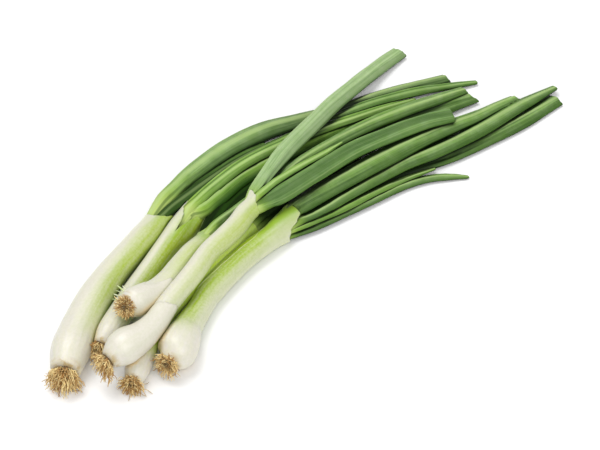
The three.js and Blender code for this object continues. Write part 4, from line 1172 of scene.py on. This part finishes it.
def shank_material(name, lime, top, film, shade, yellow, seed, scatter=0.30):
    """A shank: white bulb, cream sheath, yellow green towards the leaves and down one side,
    thin membrane at the collar, papery tan scraps at the root plate, painted shade in the gaps."""
    material, graph, shader = new_material(name)
    lime_from, lime_to, lime_side, lime_low, lime_high, lime_amount = lime
    top_from, top_side, top_amount = top
    film_side, film_low, film_amount = film
    veins = placed(graph, VEINS, Spacing=0.8 * MM, Seed=seed)
    patches = placed(graph, CLOUDY, Size=9 * MM, Seed=seed, Low=0.35, High=0.7)
    grain = placed(graph, CLOUDY, Size=1.5 * MM, Seed=seed + 6.0, Low=0.40, High=0.62)
    scraps = placed(graph, CLOUDY, Size=3.5 * MM, Seed=seed + 2.0, Low=0.45, High=0.6)
    share = attribute(graph, "share")
    right = graph.math("MULTIPLY", attribute(graph, "across"), -1.0)
    inner = attribute(graph, "inner")
    tone = blend(graph, graph.between(share, 0.1, 0.8), BULB_WHITE, SHEATH_CREAM)
    tone = blend(graph, graph.math("MULTIPLY", veins["Streak"], 0.30), tone, STREAK_CREAM)
    tone = blend(graph, graph.math("MULTIPLY", grain["Mask"], 0.22), tone, GRAIN_CREAM)
    facing = graph.between(graph.math("ADD", graph.math("MULTIPLY", right, float(lime_side)),
                                      graph.math("MULTIPLY", share, 0.4)), lime_low, lime_high)
    wash = graph.math("MULTIPLY", graph.between(share, lime_from, lime_to), facing)
    uneven = graph.math("ADD", graph.math("MULTIPLY", veins["Streak"], 0.35),
                        graph.math("MULTIPLY", grain["Mask"], 0.15))
    wash = graph.math("MULTIPLY", wash, graph.math("ADD", uneven, 0.68))
    tone = blend(graph, graph.math("MULTIPLY", wash, lime_amount), tone, yellow)
    sided = graph.between(graph.math("MULTIPLY", right, float(top_side)), -0.9, 0.3, 0.2, 1.0)
    green = graph.math("MULTIPLY", graph.between(share, top_from, 1.0), sided)
    tone = blend(graph, graph.math("MULTIPLY", green, top_amount), tone, COLLAR_GREEN)
    skin = graph.math("MULTIPLY", graph.between(share, 0.78, 0.95), graph.between(
        graph.math("MULTIPLY", right, float(film_side)), film_low, film_low + 0.6))
    skin = graph.math("MULTIPLY", skin, graph.math(
        "ADD", graph.math("MULTIPLY", patches["Mask"], 0.4), 0.6))
    tone = blend(graph, graph.math("MULTIPLY", skin, film_amount), tone, FILM_CREAM)
    base = graph.math("SUBTRACT", 1.0, graph.between(share, -0.012, 0.045))
    tan = graph.math("MULTIPLY", base, graph.math(
        "ADD", graph.math("MULTIPLY", scraps["Mask"], 0.6), 0.25))
    tone = blend(graph, tan, tone, SCRAP_TAN)
    tone = blend(graph, graph.math("MULTIPLY", inner, 0.85), tone, COLLAR_WALL)
    # Painted shade where the pile closes round the shank: warm tan on the bulb, olive higher up,
    # near black in the deepest gaps, as strong as shade sets.
    gap_shade = graph.between(attribute(graph, "gap_shade"), 0.15, 0.75)
    gap_shade_colour = blend(graph, graph.between(share, 0.12, 0.35), BULB_GAP_SHADE, SHEATH_GAP_SHADE)
    depth = graph.math("MULTIPLY", gap_shade, graph.between(share, 0.12, 0.35, 0.75, shade))
    tone = blend(graph, depth, tone, gap_shade_colour)
    black_gap_shade = graph.math("MULTIPLY", graph.between(attribute(graph, "gap_shade"), 0.6, 0.95),
                       graph.between(share, 0.3, 0.5, 0.0, shade))
    tone = blend(graph, black_gap_shade, tone, DEEP_GAP_SHADE)
    graph.feed(shader["Base Color"], tone)
    graph.feed(shader["Roughness"], graph.math(
        "ADD", graph.math("MULTIPLY", patches["Mask"], 0.12), 0.32))
    shader["Specular IOR Level"].default_value = 0.4
    shader["Coat Weight"].default_value = 0.15
    shader["Coat Roughness"].default_value = 0.22
    shader["Subsurface Weight"].default_value = scatter
    shader["Subsurface Radius"].default_value = (1.0, 1.0, 0.45)
    shader["Subsurface Scale"].default_value = 2.2 * MM
    bump = graph.add("ShaderNodeBump", {"Strength": 0.22, "Distance": 0.2 * MM})
    graph.feed(bump.inputs["Height"], graph.math(
        "ADD", graph.math("MULTIPLY", veins["Vein"], 0.5), veins["Streak"]))
    graph.feed(shader["Normal"], bump.outputs[0])
    return material


def root_material(name, seed):
    """Dry root threads: cream to tan, each a little different; painted shade in dark brown at the
    plate.
    """
    material, graph, shader = new_material(name)
    tone = attribute(graph, "tone")
    reach = attribute(graph, "reach")
    specks = placed(graph, CLOUDY, Size=1.6 * MM, Seed=seed, Low=0.40, High=0.62)
    colour = blend(graph, graph.between(tone, 0.2, 0.8), (0.45, 0.24, 0.065), (1.0, 0.81, 0.39))
    colour = blend(graph, graph.math("MULTIPLY", specks["Mask"], 0.30), colour, (0.32, 0.15, 0.04))
    # Painted shade: the threads turn dark brown towards the plate, where they crowd.
    foot = graph.math("SUBTRACT", 1.0, graph.between(reach, 0.05, 0.45))
    colour = blend(graph, graph.math("MULTIPLY", foot, 0.90), colour, (0.07, 0.035, 0.014))
    graph.feed(shader["Base Color"], colour)
    graph.feed(shader["Roughness"], graph.between(tone, 0.0, 1.0, 0.7, 0.9))
    return material


def fibre_material(name, first, second):
    """A dry sliver of skin, darker along its length in blotches."""
    material, graph, shader = new_material(name)
    specks = placed(graph, CLOUDY, Size=3.0 * MM, Seed=5.0, Low=0.35, High=0.65)
    graph.feed(shader["Base Color"], blend(graph, specks["Mask"], first, second))
    shader["Roughness"].default_value = 0.55
    return material


VEINS = lengthwise_veins()
CLOUDY = cloudy()
# Each leaf finish has its dark, middle and light green, its bloom and how much of it, and a seed.
# The nearly black finish is painted shade: it colours a leaf deep in the pile as the dark gap it
# lies in.
FINISHES = {
    "leaf_green": leaf_material("leaf_green", (0.032, 0.098, 0.007), (0.092, 0.210, 0.020),
                                (0.230, 0.420, 0.065), (0.42, 0.55, 0.30), 0.42, 1.0, shade=0.72),
    # Painted shade on the far part of the leaf, and strong painted shade on its right flank.
    "leaf_soft": leaf_material("leaf_soft", (0.050, 0.130, 0.014), (0.120, 0.250, 0.032),
                               (0.300, 0.490, 0.120), (0.48, 0.62, 0.35), 0.50, 43.0, shade=0.85,
                               foot_to=0.40, shaded_span=(0.35, 0.60, 0.0, 0.40)),
    # Painted shade on the first part of the leaf, fading out along it.
    "leaf_shaded": leaf_material("leaf_shaded", (0.035, 0.100, 0.008), (0.095, 0.215, 0.022),
                              (0.220, 0.400, 0.065), (0.36, 0.50, 0.26), 0.36, 37.0, shade=0.6,
                              foot_to=0.09, gloss=0.12, edge=0.20, shaded_span=(0.34, 0.60, 0.85, 0.0)),
    "leaf_shadow_black": leaf_material("leaf_shadow_black", (0.002, 0.007, 0.001), (0.004, 0.013, 0.001),
                                 (0.012, 0.030, 0.004), (0.02, 0.04, 0.01), 0.10, 9.0,
                                 foot_to=0.03, gloss=0.05),
    "leaf_young": leaf_material("leaf_young", (0.070, 0.180, 0.010), (0.155, 0.330, 0.028),
                                (0.330, 0.560, 0.095), (0.46, 0.61, 0.27), 0.36, 13.0, shade=0.6,
                                foot_to=0.30),
    # Painted shade at full strength on the right flank.
    "leaf_sided": leaf_material("leaf_sided", (0.060, 0.160, 0.011), (0.130, 0.290, 0.022),
                                (0.270, 0.480, 0.060), (0.38, 0.53, 0.20), 0.28, 17.0, shade=1.0,
                                foot_to=0.28, gloss=0.12),
    "leaf_pale": leaf_material("leaf_pale", (0.160, 0.290, 0.085), (0.270, 0.420, 0.155),
                               (0.390, 0.540, 0.240), (0.48, 0.59, 0.36), 0.50, 19.0,
                               rough=0.5, shade=0.45, groove_shade=0.35),
    "leaf_waxy": leaf_material("leaf_waxy", (0.060, 0.165, 0.016), (0.125, 0.275, 0.042),
                               (0.240, 0.410, 0.105), (0.38, 0.50, 0.28), 0.42, 29.0, rough=0.48,
                               shade=0.55),
    "outer_skin": shank_material("outer_skin", (2.0, 3.0, 1, 0.0, 1.0, 0.0), (2.0, 1, 0.0),
                                 (1, 0.0, 0.0), 0.45, (0.38, 0.49, 0.07), 23.0, scatter=0.0),
    "roots": root_material("roots", 2.0),
    "margin": fibre_material("margin", (0.48, 0.60, 0.17), (0.64, 0.70, 0.32)),
    "fray": fibre_material("fray", (0.50, 0.62, 0.24), (0.74, 0.77, 0.56)),
    "straw": fibre_material("straw", (0.34, 0.24, 0.13), (0.66, 0.52, 0.30)),
}
FINISHES.update({name: shank_material(name, **look) for name, look in SHANK_LOOKS.items()})

# ------------------------------------------------------------------ pieces


def press_out(points, lower, clear):
    """Moves the points that lie inside a lower piece straight out to its skin."""
    middles = np.array([s["middle"] for s in lower])
    reach = max(s["wide"] for s in lower) + 2 * MM
    near = np.all((points > middles.min(0) - reach) & (points < middles.max(0) + reach), axis=1)
    chosen = np.flatnonzero(near)
    if not len(chosen):
        return points
    away = points[chosen, None, :] - middles[None]
    nearest = np.argmin((away ** 2).sum(2), axis=1)
    off = away[np.arange(len(chosen)), nearest]
    pick = lambda label: np.array([s[label] for s in lower])[nearest]
    x = (off * pick("side")).sum(1)
    y = (off * pick("up")).sum(1)
    z = (off * pick("along")).sum(1)
    wide, thick = pick("wide") + clear, pick("thick") + clear
    ratio = np.sqrt((x / wide) ** 2 + (y / thick) ** 2)
    step = np.linalg.norm(middles[1] - middles[0]) * 1.5
    inside = (ratio < 1) & (ratio > 1e-6) & (np.abs(z) < step)
    grow = np.where(inside, 1 / np.maximum(ratio, 1e-6) - 1, 0.0)
    shift = pick("side") * (x * grow)[:, None] + pick("up") * (y * grow)[:, None]
    points = points.copy()
    points[chosen] += shift
    return points


def points_of(mesh):
    points = np.empty(len(mesh.vertices) * 3)
    mesh.vertices.foreach_get("co", points)
    return points.reshape(-1, 3)


def numbers_of(mesh, label):
    values = np.empty(len(mesh.vertices))
    mesh.attributes[label].data.foreach_get("value", values)
    return values


def set_points(mesh, points):
    mesh.vertices.foreach_set("co", np.ascontiguousarray(points, np.float32).ravel())
    mesh.update()


def is_own_leaf(shank, name):
    return shank.endswith("shank") and name.startswith(shank[0] + "_leaf")


def add_piece(name, mesh, node=None):
    piece = bpy.data.objects.new(name, mesh)
    bpy.context.scene.collection.objects.link(piece)
    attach(piece, "root")
    if node:
        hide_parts(node)
    return piece


FEELERS = 12                  # feelers that a point sends out, and how far they reach
FEELER_REACH = 11 * MM
FEELER_START = 0.15           # how far off its point a feeler starts (mm)
FEELER_LEAN = 1.05            # how strongly the feelers lean to the normal
FAR_HIT = 0.5                 # how much less a hit at full reach counts than one close by


def mark_crevices(pieces):
    """Stores on each point how deep in the pile it lies: the share of short feelers, sent out
    round its normal, that touch a piece or the table. It is 0 in the open and 1 in a gap."""
    corners, faces = [(-1, -1, 0), (1, -1, 0), (1, 1, 0), (-1, 1, 0)], [(0, 1, 2, 3)]
    for piece in pieces:
        start = len(corners)
        corners.extend(points_of(piece.data).tolist())
        faces.extend([[start + v for v in face.vertices] for face in piece.data.polygons])
    tree = BVHTree.FromPolygons(corners, faces)
    k = np.arange(FEELERS) + 0.5
    lift, turn = 1 - 2 * k / FEELERS, k * math.pi * GOLDEN
    flat = np.sqrt(1 - lift * lift)
    ball = np.stack([flat * np.cos(turn), flat * np.sin(turn), lift], 1)
    for piece in pieces:
        mesh = piece.data
        points = points_of(mesh)
        normals = np.empty(len(points) * 3)
        mesh.vertex_normals.foreach_get("vector", normals)
        normals = normals.reshape(-1, 3)
        starts = points + normals * FEELER_START * MM
        ways = normals[:, None, :] * FEELER_LEAN + ball[None]
        ways /= np.linalg.norm(ways, axis=2, keepdims=True)
        hits = np.zeros(len(points))
        for index, (start, fan) in enumerate(zip(starts.tolist(), ways.tolist())):
            for way in fan:
                distance = tree.ray_cast(start, way, FEELER_REACH)[3]
                if distance is not None:
                    hits[index] += 1 - FAR_HIT * distance / FEELER_REACH
        # The materials paint shade from this share.
        layer = mesh.attributes.new("gap_shade", "FLOAT", "POINT")
        layer.data.foreach_set("value", (hits / FEELERS).astype(np.float32))


def source_object(mesh):
    source = bpy.data.objects.new("source", mesh)
    bpy.context.scene.collection.objects.link(source)
    return source


def drop(source):
    mesh = source.data
    bpy.data.objects.remove(source)
    bpy.data.meshes.remove(mesh)


SWEEP = sweep_tree()
ROOTS = root_tree()
SHEATHS = {letter: Sheath(letter) for letter in ONIONS}
shapes = {name: (shank_stations if name.endswith("shank") else leaf_stations)(name)
          for name in PILE}

pieces = []
for number, name in enumerate(PILE):
    stations = shapes[name]
    is_leaf = "leaf" in name
    form = LEAF_FORMS.get(name, dict(edge=1.0, ribs=18, depth=0.05, creases=[],
                                     finish="shank_" + name[0]))
    creases = (form["creases"] + [(90, 10, 0.0), (90, 10, 0.0)])[:2]
    source = source_object(station_mesh(name, stations))
    mesh = build_with(SWEEP, source, {
        "Rings": len(stations), "Sides": LEAF_SIDES if is_leaf else SHANK_SIDES,
        "Edge": form["edge"], "Ridges": float(form["ribs"]), "Ridge Depth": form["depth"] * MM,
        "Waver": (0.9 if is_leaf else 0.5) * MM, "Seed": number * 3.7,
        "Crease Turn": math.radians(creases[0][0]), "Crease Width": math.radians(creases[0][1]),
        "Crease Depth": creases[0][2] * MM, "Second Turn": math.radians(creases[1][0]),
        "Second Width": math.radians(creases[1][1]), "Second Depth": creases[1][2] * MM,
        "Finish": FINISHES[form["finish"]],
    })
    drop(source)
    points = points_of(mesh)
    if not is_leaf:
        turn = np.arctan2(numbers_of(mesh, "above"), numbers_of(mesh, "across"))
        ring = numbers_of(mesh, "ring").round().astype(int)
        letter = name[0]
        points = dress_collar(points, stations, SHEATHS[letter], COLLARS[letter], ring, turn)
    for other in PILE[:number]:
        if not is_own_leaf(other, name):
            lower = [s for s in shapes[other] if s["wide"] > 0 and not s["inner"]]
            points = press_out(points, lower, CLEAR)
    points[:, 2] = np.maximum(points[:, 2], FLOOR_CLEAR)
    set_points(mesh, points)
    pieces.append(add_piece(f"{name}_skin", mesh, f"onion_{name}"))

for letter, edge in OUTER_SKINS.items():
    mesh = skin_mesh(f"{letter}_outer_skin", SHEATHS[letter], edge, FINISHES["outer_skin"])
    pieces.append(add_piece(f"{letter}_outer_skin", mesh))

turns = np.radians([turn for turn, _ in MARGIN])
lengths = np.array([length for _, length in MARGIN]) * MM
sheath = SHEATHS["f"]
margin = sheath.places(lengths - sheath.length, turns, np.full(len(turns), MARGIN_LIFT))
mesh = fibre_mesh("f_sheath_margin", margin, MARGIN_RADIUS, FINISHES["margin"])
add_piece("f_sheath_margin", mesh)

for number, (letter, radius, finish, route) in enumerate(FIBRES):
    name = f"{letter}_fibre_{number + 1}"
    mesh = fibre_mesh(name, (np.array(route) - MIDDLE) * MM, radius * MM, FINISHES[finish])
    add_piece(name, mesh)

for letter, tuft in TUFTS.items():
    first = route_of(f"{letter}_shank", round_section, SHANK_STEPS)[0]
    axis = np.array(tuft["tilt"]) - first["along"]
    axis /= np.linalg.norm(axis)
    side = np.cross([0, 0, 1], axis)
    side /= np.linalg.norm(side)
    plate = ROOT_PLATE * 2 * first["wide"]
    source = source_object(bpy.data.meshes.new("plate"))
    mesh = build_with(ROOTS, source, {
        "Count": tuft["count"], "Plate": plate * 0.80, "Reach": tuft["reach"] * MM,
        "Spread": tuft["spread"], "Droop": tuft["droop"], "Thread": tuft["thread"] * MM,
        "Curl": tuft["reach"] * 0.9 * MM, "Core": tuft["core"], "Seed": tuft["seed"],
        "Middle": first["middle"] + axis * (BASE_DEPTH + tuft["lift"] * MM),
        "Axis": axis, "Side": side,
        "Up": np.cross(axis, side), "Finish": FINISHES["roots"],
    })
    drop(source)
    points = points_of(mesh)
    for other in "abcdef":
        if other != letter:
            lower = [s for s in shapes[f"{other}_shank"] if s["wide"] > 0 and not s["inner"]]
            points = press_out(points, lower, CLEAR)
    points[:, 2] = np.maximum(points[:, 2], FLOOR_CLEAR)
    set_points(mesh, points)
    add_piece(f"{letter}_root_threads", mesh, f"onion_{letter}_roots")

mark_crevices(pieces)

# ------------------------------------------------------------------ floor, light, camera


FLOOR_HALF = 3.0
WORLD_LIGHT = 0.41
LENS, SENSOR = 85, 36


def floor_plane():
    size = FLOOR_HALF
    mesh = bpy.data.meshes.new("floor")
    mesh.from_pydata([(-size, -size, 0), (size, -size, 0), (size, size, 0), (-size, size, 0)],
                     [], [(0, 1, 2, 3)])
    material, graph, shader = new_material("floor_white")
    soft = placed(graph, CLOUDY, Size=0.8, Seed=1.0, Low=0.2, High=0.8)
    white = blend(graph, soft["Mask"], (0.93, 0.93, 0.93), (0.95, 0.95, 0.95))
    graph.feed(shader["Base Color"], white)
    shader["Roughness"].default_value = 0.9
    shader["Specular IOR Level"].default_value = 0.1
    mesh.materials.append(material)
    floor = bpy.data.objects.new("floor", mesh)
    bpy.context.scene.collection.objects.link(floor)


def area_light(name, place, target, size, watts):
    data = bpy.data.lights.new(name, "AREA")
    data.shape = "DISK"
    data.size = size
    data.energy = watts
    lamp = bpy.data.objects.new(name, data)
    bpy.context.scene.collection.objects.link(lamp)
    lamp.location = place
    lamp.rotation_euler = (Vector(target) - Vector(place)).to_track_quat("-Z", "Y").to_euler()


AZIMUTH, ELEVATION, DISTANCE = math.radians(-43), math.radians(47), 0.83
TARGET = Vector((-7.9, -19.8, 0)) * MM
BACK = Vector((math.sin(AZIMUTH) * math.cos(ELEVATION), -math.cos(AZIMUTH) * math.cos(ELEVATION),
               math.sin(ELEVATION)))
RIGHT = Vector((math.cos(AZIMUTH), math.sin(AZIMUTH), 0))
AWAY = Vector((-math.sin(AZIMUTH), math.cos(AZIMUTH), 0))


def from_camera(right, away, height):
    """A place given to the right of the bunch and behind it, as the camera sees them."""
    return TARGET + RIGHT * right + AWAY * away + Vector((0, 0, height))


floor_plane()
area_light("key", from_camera(-0.45, 0.40, 1.55), TARGET, 1.2, 17.0)
area_light("front", from_camera(0.45, -1.1, 1.3), TARGET, 1.7, 18)

world = bpy.data.worlds.new("studio")
world.use_nodes = True
world.node_tree.nodes["Background"].inputs[0].default_value = (1.0, 1.0, 1.0, 1.0)
world.node_tree.nodes["Background"].inputs[1].default_value = WORLD_LIGHT
bpy.context.scene.world = world
bpy.context.scene.view_settings.view_transform = "Standard"

camera_data = bpy.data.cameras.new("camera")
camera_data.lens = LENS
camera_data.sensor_width = SENSOR
camera = bpy.data.objects.new("camera", camera_data)
bpy.context.scene.collection.objects.link(camera)
camera.location = TARGET + BACK * DISTANCE
camera.rotation_euler = (-BACK).to_track_quat("-Z", "Y").to_euler()
bpy.context.scene.camera = camera
